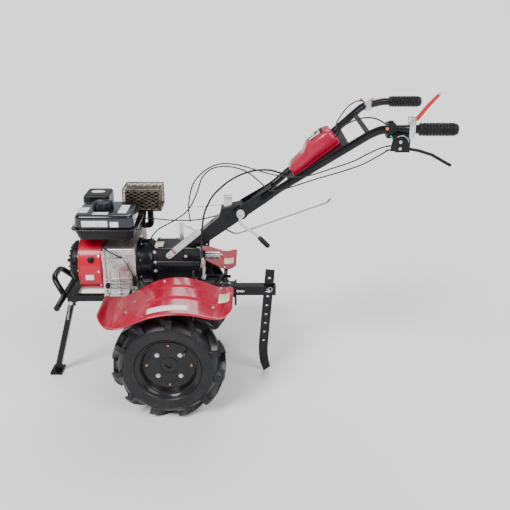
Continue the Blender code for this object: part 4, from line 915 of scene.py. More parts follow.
def make_engine_block():
    refined("engine_block", "alloy", bevel=0.0025)
    refined("cylinder_head", "alloy", bevel=0.002)
    refined("rocker_cover", "alloy", bevel=0.005, segments=3)
    refined("carburettor", "alloy", bevel=0.002)
    cast = Shape()
    foot = RAIL_TOP + 0.004
    cast.box(at(CASE_FRONT + 0.0005, CASE_LEFT - 0.008, foot),
             at(CASE_FRONT + 0.014, 0.085, CRANK_Z + 0.080), 0.0030)
    cast.box(at(CASE_REAR - 0.008, CASE_LEFT - 0.003, foot),
             at(CASE_REAR - 0.001, 0.085, CRANK_Z + 0.075), 0.0015)
    start = CASE_FRONT + 0.012
    end = CASE_REAR - 0.012
    for i in range(4):
        z = RAIL_TOP + 0.028 + 0.014 * i
        left_pad(cast, start, end, z, z + 0.004, 0.009, 0.0012)
    left_pad(cast, CASE_FRONT + 0.020, CASE_REAR - 0.030, CRANK_Z - 0.004, CRANK_Z + 0.050,
             0.007, 0.0025)
    left_boss(cast, -0.205, CRANK_Z + 0.022, 0.009, 0.016, 32, 0.002)
    left_boss(cast, -0.160, CRANK_Z + 0.030, 0.006, 0.011, 28, 0.0015)
    for x in (CASE_FRONT + 0.014, CASE_REAR - 0.016):
        left_pad(cast, x - 0.006, x + 0.006, RAIL_TOP + 0.001, RAIL_TOP + 0.014, 0.014, 0.002)
    left_pad(cast, start, end, CRANK_Z + 0.058, CRANK_Z + 0.063, 0.0035, 0.0012)
    for x in (-0.218, -0.182, -0.146):
        left_pad(cast, x - 0.002, x + 0.002, RAIL_TOP + 0.020, CRANK_Z - 0.010, 0.006, 0.001)
    for x0, z0, x1, z1 in CASE_WEBS:
        cast.rod([at(x0, CASE_LEFT - 0.001, z0),
                  at((x0 + x1) / 2, CASE_LEFT - 0.002, (z0 + z1) / 2),
                  at(x1, CASE_LEFT - 0.001, z1)], 0.0030, 10)
    cast.box(at(CASE_FRONT - 0.001, CASE_LEFT - 0.010, RAIL_TOP),
             at(CASE_REAR, CASE_LEFT + 0.004, RAIL_TOP + 0.005), 0.0012)
    cast.piece("crankcase_ribs", "machine", "alloy", 35)


def make_crankcase_fittings():
    filler = Shape()
    x, z = -0.226, 0.437
    left_boss(filler, x, z, 0.014, 0.0095, 24, 0.001)
    filler.drum(at(x, CASE_LEFT - 0.020, z), at(x, CASE_LEFT - 0.013, z), 0.0065, 6, bevel=0.0008)
    filler.piece("oil_filler_plug", "machine", "plastic")
    bolts = Shape()
    leftward = (0, -1, 0)
    for z in (0.030, 0.075, 0.125, 0.165):
        bolts.bolt(at(CASE_FRONT + 0.0070, CASE_LEFT - 0.008, RAIL_TOP + z), leftward, 0.0042)
        bolts.bolt(at(CASE_REAR - 0.0045, CASE_LEFT - 0.003, RAIL_TOP + z), leftward, 0.0042)
    for z in (0.060, 0.146):
        for x in (-0.222, -0.140):
            bolts.bolt(at(x, CASE_LEFT - 0.002, RAIL_TOP + z), leftward, 0.0046)
    bolts.bolt(at(-0.182, CASE_LEFT - 0.002, AXLE.z + 0.201), leftward, 0.0075, 0.007)
    bolts.piece("crankcase_bolts", "machine", "zinc")
    wires = Shape()
    for radius, line in SENSOR_WIRES:
        wires.rod(smooth_line([at(x, CASE_LEFT - out, z) for x, out, z in line]), radius, 8)
    wires.box(at(-0.131, CASE_LEFT - 0.013, 0.436), at(-0.116, CASE_LEFT + 0.001, 0.476), 0.003)
    wires.piece("oil_sensor_wires", "machine", "plastic")


def make_cylinder(fin_count):
    fins = Shape()
    first, last = 0.104, 0.198
    tilt = Matrix.Rotation(CYLINDER_TILT, 4, "X")
    half = Vector((0.0632, 0.0012, 0.0645))
    for i in range(fin_count):
        spot = tilted(CYLINDER_X, first + (last - first) * i / (fin_count - 1), 0.0)
        fins.box(spot - half, spot + half, 0.0005, tilt)
    fins.piece("cylinder_fins", "machine", "alloy")
    plug = Shape()
    start = tilted(CYLINDER_X, 0.212, 0.040)
    end = tilted(CYLINDER_X, 0.232, 0.060)
    plug.rod([start, (start + end) / 2, end], 0.0085, 14, 0.0105)
    plug.rod(smooth_line([end, tilted(-0.190, 0.225, 0.085), tilted(-0.215, 0.180, 0.098),
                          tilted(-0.240, 0.120, 0.092)]), 0.0035, 8)
    plug.piece("spark_plug_lead", "machine", "plastic")
    screws = Shape()
    outward = (0, math.cos(CYLINDER_TILT), math.sin(CYLINDER_TILT))
    for x in (-0.215, -0.143):
        for lift in (-0.026, 0.026):
            screws.bolt(tilted(x, 0.2335, lift), outward, 0.0045)
    screws.piece("rocker_screws", "machine", "zinc")


def make_fan_housing():
    refined("fan_housing", "fan", bevel=0.005, segments=3, smooth=40)
    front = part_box("fan_housing")[0].x - DATUM
    rear = front + 0.089
    radius = 0.112
    out = Vector((0.0, -0.103, 0.044)).normalized()
    hub = at(-0.282, 0.0, CRANK_Z)
    switch = Shape()
    switch.drum(hub + out * (radius - 0.002), hub + out * (radius + 0.004), 0.0125, 28, bevel=0.0012)
    toggle = hub + out * (radius + 0.0065)
    half = Vector((0.004, 0.003, 0.0035))
    switch.box(toggle - half, toggle + half, 0.001)
    switch.piece("engine_switch", "machine", "plastic")
    label_box("fan_label", "label", at(-0.305, -radius - 0.0008, CRANK_Z - 0.034),
              at(-0.274, -radius + 0.004, CRANK_Z - 0.014))
    seam = Shape()
    bead = [(radius - 0.003, -0.002), (radius + 0.0016, -0.002), (radius + 0.0016, 0.002),
            (radius - 0.003, 0.002)]
    for x in (front + 0.004, rear - 0.006):
        seam.spin(bead, at(x, 0, CRANK_Z), (1, 0, 0), 96)
    seam.piece("fan_housing_beads", "machine", "fan")
    screws = Shape()
    for degrees in (150, 180, 215, 320, 20, 75, 110):
        aim = around_x(math.radians(degrees))
        screws.bolt(at(front, 0, CRANK_Z) + aim * (radius - 0.012), (-1, 0, 0), 0.0045)
        screws.bolt(at(rear - 0.010, 0, CRANK_Z) + aim * (radius - 0.0005), aim, 0.0042)
    screws.piece("fan_housing_screws", "machine", "zinc")


def make_recoil_starter():
    low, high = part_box("recoil_starter")
    deep = high.x - low.x
    radius = (high.y - low.y) / 2
    hub = Vector((high.x, 0.0, CRANK_Z))
    profile = [
        (0.0, deep), (0.020, deep), (0.023, deep - 0.003), (radius - 0.020, deep - 0.003),
        (radius - 0.007, deep - 0.011), (radius - 0.003, deep - 0.020), (radius - 0.003, 0.006),
        (radius, 0.005), (radius, 0.0), (0.0, 0.0),
    ]
    starter = Shape().spin(profile, hub, (-1, 0, 0), 96, closed=False)
    rib_half = Vector((deep * 0.22, 0.0032, 0.0026))
    spoke_half = Vector((0.0016, 0.017, 0.0028))
    ribs = 36
    for i in range(ribs):
        angle = math.tau * i / ribs
        aim = around_x(angle)
        turn = Matrix.Rotation(angle, 4, "X")
        rib = hub + aim * (radius - 0.0035) - Vector((deep * 0.42, 0, 0))
        starter.box(rib - rib_half, rib + rib_half, 0.0008, turn)
        if i % 2 == 0:
            spoke = hub + aim * (radius * 0.60) - Vector((deep - 0.002, 0, 0))
            starter.box(spoke - spoke_half, spoke + spoke_half, 0.0008, turn)
    starter.piece("recoil_starter_cover", "machine", "plastic", 35, ("recoil_starter",))
    pull = Shape()
    grip = hub + Vector((-deep * 0.45, -radius + 0.004, 0.030))
    pull.rod([grip, grip + Vector((-0.002, -0.010, 0.006))], 0.006, 14)
    pull.box(grip + Vector((-0.020, -0.020, 0.002)), grip + Vector((0.016, -0.009, 0.015)), 0.004)
    pull.piece("starter_handle", "machine", "plastic")


def lattice(shape, corner, across, up, pitch, radius):
    """Diagonal strands over a rectangle, clipped to its edges."""
    wide = across.length
    tall = up.length
    u = across.normalized()
    v = up.normalized()
    lean = 1.9  # strands run flatter than 45 degrees
    for way in (1, -1):
        offset = -tall * lean
        while offset < wide + tall * lean:
            x0, x1 = offset, offset + tall * lean
            y0, y1 = (0.0, tall) if way > 0 else (tall, 0.0)
            rate = (y1 - y0) / (x1 - x0)
            if x0 < 0.0:
                y0 -= rate * x0
                x0 = 0.0
            if x1 > wide:
                y1 -= rate * (x1 - wide)
                x1 = wide
            if x1 - x0 > 0.002:
                shape.drum(corner + u * x0 + v * y0, corner + u * x1 + v * y1, radius, 4)
            offset += pitch * lean


def make_exhaust(sizes):
    refined("muffler", "shroud", bevel=0.003)
    low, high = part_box("muffler_guard")
    edge = 0.0022
    low = low + Vector((edge, edge, 0.0))
    high = high - Vector((edge, edge, edge))
    span = high - low
    x_way, y_way, z_way = Vector((span.x, 0, 0)), Vector((0, span.y, 0)), Vector((0, 0, span.z))
    guard = Shape()
    for corner, across, up in (
        (low, x_way, z_way), (low + y_way, x_way, z_way), (low, y_way, z_way),
        (low + x_way, y_way, z_way), (low + z_way, x_way, y_way),
    ):
        lattice(guard, corner, across, up, sizes.mesh_pitch, 0.0008)
        for first, second in (
            (corner, corner + across), (corner + up, corner + up + across), (corner, corner + up),
            (corner + across, corner + across + up),
        ):
            guard.drum(first, second, edge, 8)
    guard.piece("muffler_guard_mesh", "machine", "heated", 35, ("muffler_guard",))
    shroud = Shape()
    shroud.box(low + Vector((0.006, 0.006, 0.004)), high - Vector((0.006, 0.006, 0.009)), 0.006)
    for row in range(5):
        z = low.z + 0.012 + row * 0.0115
        shroud.box((low.x + 0.010, low.y + 0.0025, z), (high.x - 0.010, low.y + 0.008, z + 0.0045),
                   0.0012)
    shroud.box(at(-0.132, 0.094, AXLE.z + 0.392), at(-0.092, 0.100, AXLE.z + 0.472), 0.0012,
               foot=(0.35, 1.0))
    shroud.piece("muffler_shroud", "machine", "shroud")


def make_air_cleaner():
    refined("air_cleaner", "plastic", bevel=0.004, segments=3, smooth=50)
    low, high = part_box("air_cleaner")
    centre = (low + high) / 2
    ledge = Shape()
    ledge.box((low.x + 0.002, low.y + 0.002, low.z + 0.026),
              (high.x - 0.002, high.y - 0.002, low.z + 0.031), 0.001)
    for x in (low.x + 0.020, high.x - 0.032):
        for inner, outer in ((high.y - 0.003, high.y - 0.0002), (low.y + 0.0002, low.y + 0.003)):
            ledge.box((x, inner, low.z + 0.016), (x + 0.012, outer, low.z + 0.040), 0.001)
    ledge.piece("air_cleaner_seam", "machine", "plastic")
    badge = Shape()
    badge.spin([(0.0, 0.0), (0.019, 0.0), (0.019, 0.0008), (0.0, 0.0008)],
               (centre.x, centre.y, high.z - 0.0003), (0, 0, 1), 40, closed=False)
    bmesh.ops.scale(badge.bm, vec=(1.45, 0.85, 1.0), verts=badge.bm.verts,
                    space=Matrix.Translation((-centre.x, -centre.y, 0.0)))
    badge.piece("air_cleaner_badge", "machine", "label")
    knob = Shape().spin(
        [(0.0, 0.0), (0.012, 0.0), (0.013, 0.003), (0.010, 0.007), (0.0, 0.008)],
        (centre.x, low.y + 0.001, centre.z + 0.006), (0, -1, 0), 32, closed=False,
    )
    knob.piece("air_cleaner_knob", "machine", "plastic")


def make_bell():
    refined("clutch_housing", "frame", bevel=0.0015, smooth=40)
    low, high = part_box("clutch_housing")
    ring = Shape()
    radius = (high.y - low.y) / 2
    for along, out in ((0.012, -0.0045), (0.050, -0.0045)):
        ring.spin([(radius + out - 0.003, -0.0025), (radius + out, -0.0025), (radius + out, 0.0025),
                   (radius + out - 0.003, 0.0025)], (low.x + along, 0, CRANK_Z), (1, 0, 0), 96)
    ring.piece("bell_beads", "machine", "frame")
    bolts = Shape()
    for i in range(8):
        aim = around_x(math.tau * (i + 0.5) / 8)
        bolts.bolt(Vector((low.x + 0.0145, 0, CRANK_Z)) + aim * (radius - 0.0028), (1, 0, 0), 0.0040)
    bolts.piece("bell_bolts", "machine", "steel")


# ---------------------------------------------------------------- gearbox and frame


def make_gearbox():
    refined("gearbox_leg", "gearbox", bevel=0.004)
    refined("gearbox_upper", "gearbox", bevel=0.0015)
    refined("rear_shaft_cover", "steel", bevel=0.0012)
    for side, label in SIDES:
        refined(f"axle_housing_{label}", "gearbox", bevel=0.001)
    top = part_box("gearbox_upper")[1].z
    left = -0.062
    label_box("gearbox_label", "cream", at(-0.050, -0.040, top - 0.0005), at(-0.018, 0.012, top + 0.0005))
    detail = Shape()
    detail.box(at(0.060, left - 0.005, top - 0.047), at(0.127, left + 0.003, top - 0.009), 0.0015)
    for i in range(9):
        x = 0.063 + i * 0.0073
        detail.box(at(x, left - 0.008, top - 0.045), at(x + 0.0030, left - 0.003, top - 0.011), 0.0006)
    for inner, outer in ((left - 0.004, left + 0.003), (0.058, 0.066)):
        detail.box(at(-0.052, inner, top - 0.100), at(-0.041, outer, top - 0.004), 0.0015)
    half = 0.045
    for side in (-1, 1):
        for z in (0.03, 0.06, 0.09, 0.12):
            detail.box(at(-0.040, side * half - 0.003, AXLE.z + z),
                       at(0.076, side * half + 0.003, AXLE.z + z + 0.003), 0.001)
        detail.spin([(0.050, 0.0), (0.058, 0.0), (0.058, 0.005), (0.050, 0.005)],
                    at(AXLE_SHIFT, side * (half - 0.001), AXLE.z), (0, side, 0), 64)
    detail.spin([(0.0145, 0.0), (0.0215, 0.0), (0.0215, 0.010), (0.0175, 0.014), (0.0145, 0.014)],
                at(0.1285, 0.004, AXLE.z + 0.309), (1, 0, 0), 40)
    detail.piece("gearbox_castings", "machine", "gearbox")
    bolts = Shape()
    for z in (-0.013, -0.055, -0.090):
        bolts.bolt(at(-0.0465, left - 0.004, top + z), (0, -1, 0), 0.0052)
        bolts.bolt(at(-0.0465, 0.066, top + z), (0, 1, 0), 0.0052)
    bolts.bolt(at(0.072, left - 0.008, top - 0.028), (0, -1, 0), 0.0050)
    for x in (-0.040, 0.030, 0.118):
        for side in (-1, 1):
            bolts.bolt(at(x, side * 0.050, top), (0, 0, 1), 0.0050)
    ring = 0.037
    for i in range(6):
        angle = math.tau * i / 6
        spot = (AXLE_SHIFT + ring * math.cos(angle), AXLE.z + ring * math.sin(angle))
        for side in (-1, 1):
            bolts.bolt(at(spot[0], side * 0.0555, spot[1]), (0, side, 0), 0.0042)
    bolts.piece("gearbox_bolts", "machine", "zinc")


def make_controls():
    refined("lock_lever", "pale", bevel=0.0012, segments=3)
    refined("lock_post", "zinc", bevel=0.0012)
    refined("selector_arm", "zinc", bevel=0.0015)
    refined("shift_rod", "zinc")
    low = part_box("lock_lever")[0]
    band = Shape()
    end = Vector((low.x + 0.030, low.y, low.z + 0.030))
    band.box(end + Vector((-0.0105, -0.0006, -0.005)), end + Vector((0.0105, 0.0042, 0.005)), 0.0006,
             Matrix.Rotation(math.radians(48), 4, "Y"))
    band.piece("lever_mark", "machine", "copper")
    bolts = Shape()
    bolts.bolt(Vector((low.x + 0.012, low.y, low.z + 0.014)), (0, -1, 0), 0.0060)
    bolts.bolt(at(0.139, -0.090, AXLE.z + 0.255), (0, -1, 0), 0.0042)
    bolts.piece("lever_bolts", "machine", "zinc")
    ferrule = Shape()
    foot = at(0.136, -0.075, AXLE.z + 0.3095)
    ferrule.drum(foot, foot + Vector((0, 0, 0.022)), 0.0056, 18, 0.0048, bevel=0.0008)
    ferrule.rod(smooth_line([
        foot + Vector((0.002, -0.004, 0.004)), foot + Vector((0.010, -0.010, -0.020)),
        foot + Vector((0.004, -0.012, -0.044)), at(0.139, -0.084, AXLE.z + 0.258),
    ]), 0.0012, 6)
    ferrule.piece("loom_ferrule", "machine", "zinc")


def make_column():
    refined("handle_column", "frame", bevel=0.0022)
    hub = at(0.232, 0.0, AXLE.z + 0.466)
    coupling = Shape()
    for profile in (
        [(0.0, 0.0), (0.0300, 0.0), (0.0300, 0.010), (0.0, 0.010)],
        [(0.0, 0.012), (0.0300, 0.012), (0.0300, 0.020), (0.026, 0.0235), (0.0, 0.026)],
    ):
        coupling.spin(profile, hub, (0, 0, 1), 48, closed=False)
    teeth = 28
    for i in range(teeth):
        angle = math.tau * i / teeth
        spot = hub + Vector((math.cos(angle) * 0.0295, math.sin(angle) * 0.0295, 0.0095))
        half = Vector((0.0022, 0.0018, 0.0045))
        coupling.box(spot - half, spot + half, 0.0005, Matrix.Rotation(angle, 4, "Z"))
    coupling.piece("swivel_coupling", "machine", "frame", 30)
    post = Shape()
    foot = at(0.233, -0.004, AXLE.z + 0.488)
    post.box(foot + Vector((-0.0155, -0.012, 0.0)), foot + Vector((0.0155, 0.012, 0.068)), 0.003)
    post.box(foot + Vector((0.014, -0.006, 0.012)), foot + Vector((0.028, 0.006, 0.030)), 0.002)
    post.rod([foot + Vector((-0.010, 0.0, 0.034)), foot + Vector((-0.060, -0.006, 0.030)),
              foot + Vector((-0.118, -0.010, 0.026))], 0.0018, 8)
    post.piece("swivel_latch", "machine", "zinc")
    seam = Shape()
    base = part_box("gearbox_upper")[1].z
    seam.box(at(0.056, -0.036, base + 0.0003), at(0.160, 0.036, base + 0.006), 0.0015)
    seam.piece("column_foot", "machine", "frame")
    bolts = Shape()
    for x in (0.066, 0.150):
        for y in (-0.0325, 0.0325):
            bolts.bolt(at(x, y, base + 0.006), (0, 0, 1), 0.0036)
    bolts.piece("column_bolts", "machine", "zinc")


def make_chassis():
    refined("engine_frame", "frame", bevel=0.0012)
    refined("bumper", "frame")
    refined("hitch_bracket", "frame", bevel=0.0018)
    refined("hitch_bar", "frame", bevel=0.0020)
    refined("drag_bar", "frame", bevel=0.0010)
    refined("hitch_pin", "zinc", bevel=0.0010)
    low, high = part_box("hitch_bar")
    bolts = Shape()
    for x in (0.205, 0.235):
        bolts.bolt(at(x, low.y - 0.006, AXLE.z + 0.166), (0, -1, 0), 0.0062)
        bolts.bolt(at(x, 0.0, high.z + 0.006), (0, 0, 1), 0.0062)
    screw = [at(x, low.y - 0.0065, AXLE.z + 0.168) for x in (0.262, 0.264, 0.278, 0.280, 0.294)]
    for spot in (screw[1], screw[3]):
        bolts.bolt(spot, (1, 0, 0), 0.0058, 0.006)
    bolts.rod([screw[0], screw[2], screw[4]], 0.0028, 10)
    for x in (-0.225, -0.130):
        for y in (-0.087, 0.087):
            bolts.bolt(at(x, y, RAIL_TOP - 0.0242), (0, 0, -1), 0.0058)
    for x in (-0.020, 0.060):
        for side in (-1, 1):
            bolts.bolt(at(x, side * 0.0993, RAIL_TOP - 0.012), (0, side, 0), 0.0060)
    bolts.piece("frame_bolts", "machine", "zinc")


def make_hitch_fittings():
    pin = middle("hitch_pin")
    clip = Shape()
    head = Vector((pin.x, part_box("hitch_pin")[0].y, pin.z))
    clip.drum(head - Vector((0, 0.003, 0)), head + Vector((0, 0.0005, 0)), 0.0060, 24, bevel=0.001)
    clip.rod(smooth_line([
        head + Vector((-0.010, 0.010, 0.0)), head + Vector((0.004, 0.012, 0.010)),
        head + Vector((0.014, 0.011, 0.002)), head + Vector((0.004, 0.010, -0.009)),
        head + Vector((-0.014, 0.009, -0.006)),
    ]), 0.0013, 8)
    clip.piece("hitch_pin_clip", "machine", "zinc")
    links = Shape()
    links.rod(smooth_line([
        at(0.205, -0.031, AXLE.z + 0.200), at(0.214, -0.036, AXLE.z + 0.216),
        at(0.236, -0.036, AXLE.z + 0.214), at(0.246, -0.033, AXLE.z + 0.196),
    ]), 0.0022, 8)
    links.rod([at(0.168, -0.050, AXLE.z + 0.196), at(0.188, -0.050, AXLE.z + 0.222),
               at(0.206, -0.050, AXLE.z + 0.246)], 0.0070, 14)
    links.piece("hitch_linkage", "machine", "frame")


def make_stand():
    refined("stand_leg", "frame", "stand", bevel=0.0012)
    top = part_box("stand_leg")[1]
    hook = Vector((top.x - 0.018, -0.0165, top.z - 0.018))
    foot = hook + Vector((-0.016, 0.0, -0.070))
    turns = 13
    steps = turns * 10
    line = []
    for i in range(steps + 1):
        share = i / steps
        angle = math.tau * turns * share
        spot = hook + (foot - hook) * share
        line.append(spot + Vector((math.cos(angle) * 0.0042, math.sin(angle) * 0.0030, 0.0)))
    Shape().rod(line, 0.0010, 6).piece("stand_spring", "stand", "zinc", 60)
    nut = Shape().bolt(Vector((top.x - 0.014, -0.0235, top.z - 0.012)), (0, -1, 0), 0.0070)
    nut.piece("stand_nut", "stand", "zinc")


# ---------------------------------------------------------------- handlebar
# ---------------------------------------------------------------- handlebar


YOKE_END = Vector((0.400, 0.0, AXLE.z + 0.579))
SLOPE = math.atan2(0.248, 0.320)
COVER_LINE = (  # distance along, half width and height of the console cover
    (0.4800, 0.044, 0.028), (0.4830, 0.051, 0.033), (0.4950, 0.057, 0.037), (0.5200, 0.0605, 0.041),
    (0.5420, 0.0615, 0.045), (0.5540, 0.062, 0.057), (0.5660, 0.062, 0.064), (0.6000, 0.062, 0.067),
    (0.6260, 0.0610, 0.065), (0.6360, 0.057, 0.061), (0.6400, 0.052, 0.056),
)
COVER_FOOT = 0.0042


def in_slope(x, rise, y=0.0):
    """A place over the console's sloping plate, raised square to it."""
    level = YOKE_END.z + (x - YOKE_END.x) * math.tan(SLOPE)
    return at(x - rise * math.sin(SLOPE), y, level + rise * math.cos(SLOPE))


def make_console(body):
    cover = Shape()
    rings = []
    for x, half, rise in COVER_LINE:
        verts, edges = cover.ring(40, 1.0, x in (COVER_LINE[0][0], COVER_LINE[-1][0]))
        rings.append(edges)
        for vert in verts:
            across, up, _ = vert.co
            across = math.copysign(abs(across) ** 0.45, across)
            up = math.copysign(abs(up) ** 0.45, up)
            narrow = 1.0 - 0.10 * (up + 1) / 2
            vert.co = in_slope(x, COVER_FOOT + rise * (up + 1) / 2, across * half * narrow)
    cover.skin(rings)
    cover.piece("console_cover_shell", body, "cover", 40, ("console_cover",))
    lean = Matrix.Rotation(-SLOPE, 4, "Y")
    flange = Shape()
    spot = in_slope(0.560, COVER_FOOT + 0.0012)
    half = Vector((0.104, 0.0640, 0.0012))
    flange.box(spot - half, spot + half, 0.0008, lean)
    flange.piece("console_flange", body, "cover")
    decal = Shape()
    spot = in_slope(0.600, COVER_FOOT + 0.0650)
    half = Vector((0.026, 0.036, 0.0022))
    decal.box(spot - half, spot + half, 0.0008, lean)
    decal.piece("console_decal_dark", body, "plastic")
    decal = Shape()
    for x, y, long, wide in ((0.588, -0.020, 0.014, 0.010), (0.606, -0.020, 0.008, 0.014),
                             (0.588, 0.018, 0.010, 0.016), (0.608, 0.018, 0.006, 0.006)):
        spot = in_slope(x, COVER_FOOT + 0.0674, y)
        half = Vector((long, wide, 0.0004))
        decal.box(spot - half, spot + half, 0.0, lean)
    decal.piece("console_decal_pale", body, "label")


GRIP_BORE = 0.0152


def make_grip(label, body, ribs):
    low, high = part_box(f"grip_{label}")
    centre = (low + high) / 2
    length = high.x - low.x
    radius = (high.z - low.z) / 2
    first, last = 0.010, length - 0.010
    half = (last - first) / ribs / 2
    middles = [first + (last - first) * (i + 0.5) / ribs for i in range(ribs)]
    profile = [(GRIP_BORE, 0.0), (radius, 0.0), (radius + 0.0012, 0.003), (radius, 0.007)]
    for mid in middles:
        profile += [(radius - 0.0024, mid - half * 0.9), (radius - 0.0004, mid - half * 0.45),
                    (radius - 0.0004, mid + half * 0.45), (radius - 0.0024, mid + half * 0.9)]
    profile += [(radius - 0.001, length - 0.006), (radius - 0.005, length - 0.001),
                (GRIP_BORE, length)]
    grip = Shape().spin(profile, (low.x, centre.y, centre.z), (1, 0, 0), 40)
    grip.drum((high.x - 0.004, centre.y, centre.z), (high.x - 0.001, centre.y, centre.z), 0.0155, 24)
    block = Vector((half * 0.60, 0.0012, 0.0052))
    for i, mid in enumerate(middles):
        for j in range(8):
            angle = math.tau * (j + 0.5 * (i % 2)) / 8
            spot = Vector((low.x + mid, centre.y, centre.z)) + around_x(angle) * (radius - 0.0004)
            grip.box(spot - block, spot + block, 0.0006, Matrix.Rotation(angle, 4, "X"))
    grip.piece(f"grip_{label}_ribbed", body, "grip", 40, (f"grip_{label}",))


def make_clamp_lever(body):
    reach = -0.0573
    heel = PIVOT + Vector((0.068, reach - 0.030, -0.078))
    outward = Vector((0.040, -0.018, -0.034))
    arm = Shape()
    arm.spin([(0.0063, 0.0), (0.0150, 0.0), (0.0150, 0.018), (0.0125, 0.023), (0.0063, 0.024)],
             at(PIVOT.x, -0.0403, PIVOT.z), (0, -1, 0), 40)
    bend = [PIVOT + Vector((0, reach, -0.004)), PIVOT + Vector((-0.001, reach, -0.030)),
            PIVOT + Vector((0.012, reach - 0.004, -0.045)),
            PIVOT + Vector((0.040, reach - 0.017, -0.060)), heel, heel + outward * 0.3]
    arm.rod([p + Vector((DATUM, 0, 0)) for p in smooth_line(bend, 5)], 0.0062, 14, 0.0048)
    arm.piece("clamp_lever_arm", body, "pale", 40, ("clamp_lever",))
    handle = Shape()
    handle.spin([(0.0, 0.0), (0.0070, 0.0), (0.0085, 0.004), (0.0095, 0.020), (0.0095, 0.044),
                 (0.0080, 0.052), (0.0, 0.055)],
                heel + Vector((DATUM, 0, 0)), outward, 32, closed=False)
    handle.piece("clamp_lever_handle", body, "plastic", 40)


def make_safety_lever(body):
    over = GRIP_Z + 0.0148
    x0, x1, y = 0.834, 0.853, -0.283
    plate = Shape()
    plate.box(at(x0, y - 0.004, GRIP_Z - 0.028), at(x1, y, over + 0.022), 0.0008)
    for z in (over + 0.0190, over + 0.0004):
        plate.box(at(x0, y - 0.0035, z), at(x1, y + 0.040, z + 0.0030), 0.0008)
    plate.box(at(x0, y + 0.036, over + 0.0004), at(x0 + 0.003, y + 0.040, over + 0.022), 0.0008)
    plate.piece("safety_bracket", body, "zinc", 35, ("safety_lever",))
    y += 0.025
    stick = Shape()
    stick.rod(smooth_line([
        at(x1 - 0.006, y, over + 0.012), at(x1 + 0.010, y, over + 0.020),
        at(x1 + 0.040, y, GRIP_Z + 0.073), at(x1 + 0.072, y, GRIP_Z + 0.109),
    ], 5), 0.0078, 14, 0.0056)
    stick.piece("safety_stick_red", body, "red_lever", 60)
    tip = Shape()
    tip.rod([at(x1 + 0.071, y, GRIP_Z + 0.108), at(x1 + 0.0755, y, GRIP_Z + 0.113),
             at(x1 + 0.079, y, GRIP_Z + 0.117)], 0.0052, 14, 0.0044)
    tip.piece("safety_stick_tip", body, "pale", 60)


def make_clutch_fittings(body):
    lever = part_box("clutch_lever")[0]
    details = Shape()
    for z in (1.030, 1.008):
        details.bolt((lever.x + 0.014, lever.y, z), (0, -1, 0), 0.0042)
    details.rod(smooth_line([
        at(0.790, -0.262, 1.030), at(0.800, -0.270, 1.046), at(0.818, -0.271, 1.050),
        at(0.834, -0.268, 1.040), at(0.840, -0.262, 1.022),
    ]), 0.0012, 6)
    details.piece("clutch_lever_screws", body, "zinc")
    bracket = Shape()
    bracket.box(at(0.787, -0.2705, 0.998), at(0.812, -0.2670, 1.052), 0.0012, foot=(1.7, 1.0))
    bracket.piece("clutch_lever_bracket", body, "plastic")
    mark = Shape()
    mark.drum(at(0.7675, -0.253, 1.070), at(0.7675, -0.2575, 1.070), 0.0052, 18, bevel=0.0008)
    mark.box(at(0.742, 0.205, 1.0865), at(0.754, 0.216, 1.0930), 0.001)
    mark.rod([at(x, 0.2660, GRIP_Z + 0.0003) for x in (0.795, 0.800, 0.805)], 0.0148, 24)
    mark.piece("control_marks", body, "orange")
    sleeve = Shape()
    sleeve.rod([at(0.778, -0.2620, 1.0480), at(0.788, -0.2650, 1.0380),
                at(0.798, -0.2660, 1.0260)], 0.0034, 12)
    sleeve.piece("adjuster_sleeve", body, "green")


def make_handlebar(sizes):
    body = "handlebar"
    for node, finish, bevel in (
        ("handle_yoke", "frame", 0.0015), ("pivot_bolt", "steel", 0.0008),
        ("crossbar", "frame", 0.0008), ("console_plate", "frame", 0.0008),
        ("clutch_lever", "plastic", 0.0014), ("stop_switch", "plastic", 0.0022),
        ("throttle_lever", "zinc", 0.0016),
    ):
        refined(node, finish, body, bevel)
    for _, label in SIDES:
        refined(f"handle_tube_{label}", "frame", body)
        make_grip(label, body, sizes.grip_ribs)
    make_console(body)
    make_clamp_lever(body)
    make_safety_lever(body)
    make_clutch_fittings(body)


# ---------------------------------------------------------------- cables

HELD_CABLES = {"cable_switch": "handlebar", "cable_accelerator": "handlebar"}
CROSSING_CABLES = {
    "cable_throttle": ((0.230, 0.06, 0.69), (0.430, 0.04, 0.77)),
    "cable_clutch": ((0.190, -0.03, 0.88), (0.500, -0.12, 0.84)),
    "cable_selector": ((0.190, -0.03, 0.88), (0.500, -0.12, 0.87)),
    "cable_loom": ((0.190, -0.03, 0.79), (0.420, -0.03, 0.86)),
}


def make_cables():
    for name, body in HELD_CABLES.items():
        refined(name, "cable", body, smooth=80)
    for name, (start, end) in CROSSING_CABLES.items():
        obj = refined(name, "cable", None, smooth=80)
        at(*start)
        at(*end)
        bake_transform(obj)
    bits = Shape()
    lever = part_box("clutch_lever")[0]
    for y, z, fall in ((-0.246, 1.000, 0.40), (-0.256, 1.015, 0.30)):
        end = Vector((lever.x - 0.0012, y, z))
        bits.rod([end, end - Vector((0.008, -0.002, 0.002)), end - Vector((0.024, -0.014, 0.024 * fall))],
                 0.0036, 12)
    bits.piece("cable_adjusters", "handlebar", "zinc")


# ---------------------------------------------------------------- operators


class TRACTOR_OT_finishes(bpy.types.Operator):
    """Mix the paints, metals, rubbers and labels"""

    bl_idname = "tractor.finishes"
    bl_label = "Finishes"

    def execute(self, context):
        mix_finishes(context.scene.tractor_colours)
        return {"FINISHED"}


class TRACTOR_OT_wheels(bpy.types.Operator):
    """Build the tyres with their lugs, the rims, hubs and half shafts"""

    bl_idname = "tractor.wheels"
    bl_label = "Wheels"

    def execute(self, context):
        for side, label in SIDES:
            make_wheel(side, label, context.scene.tractor_sizes)
        return {"FINISHED"}


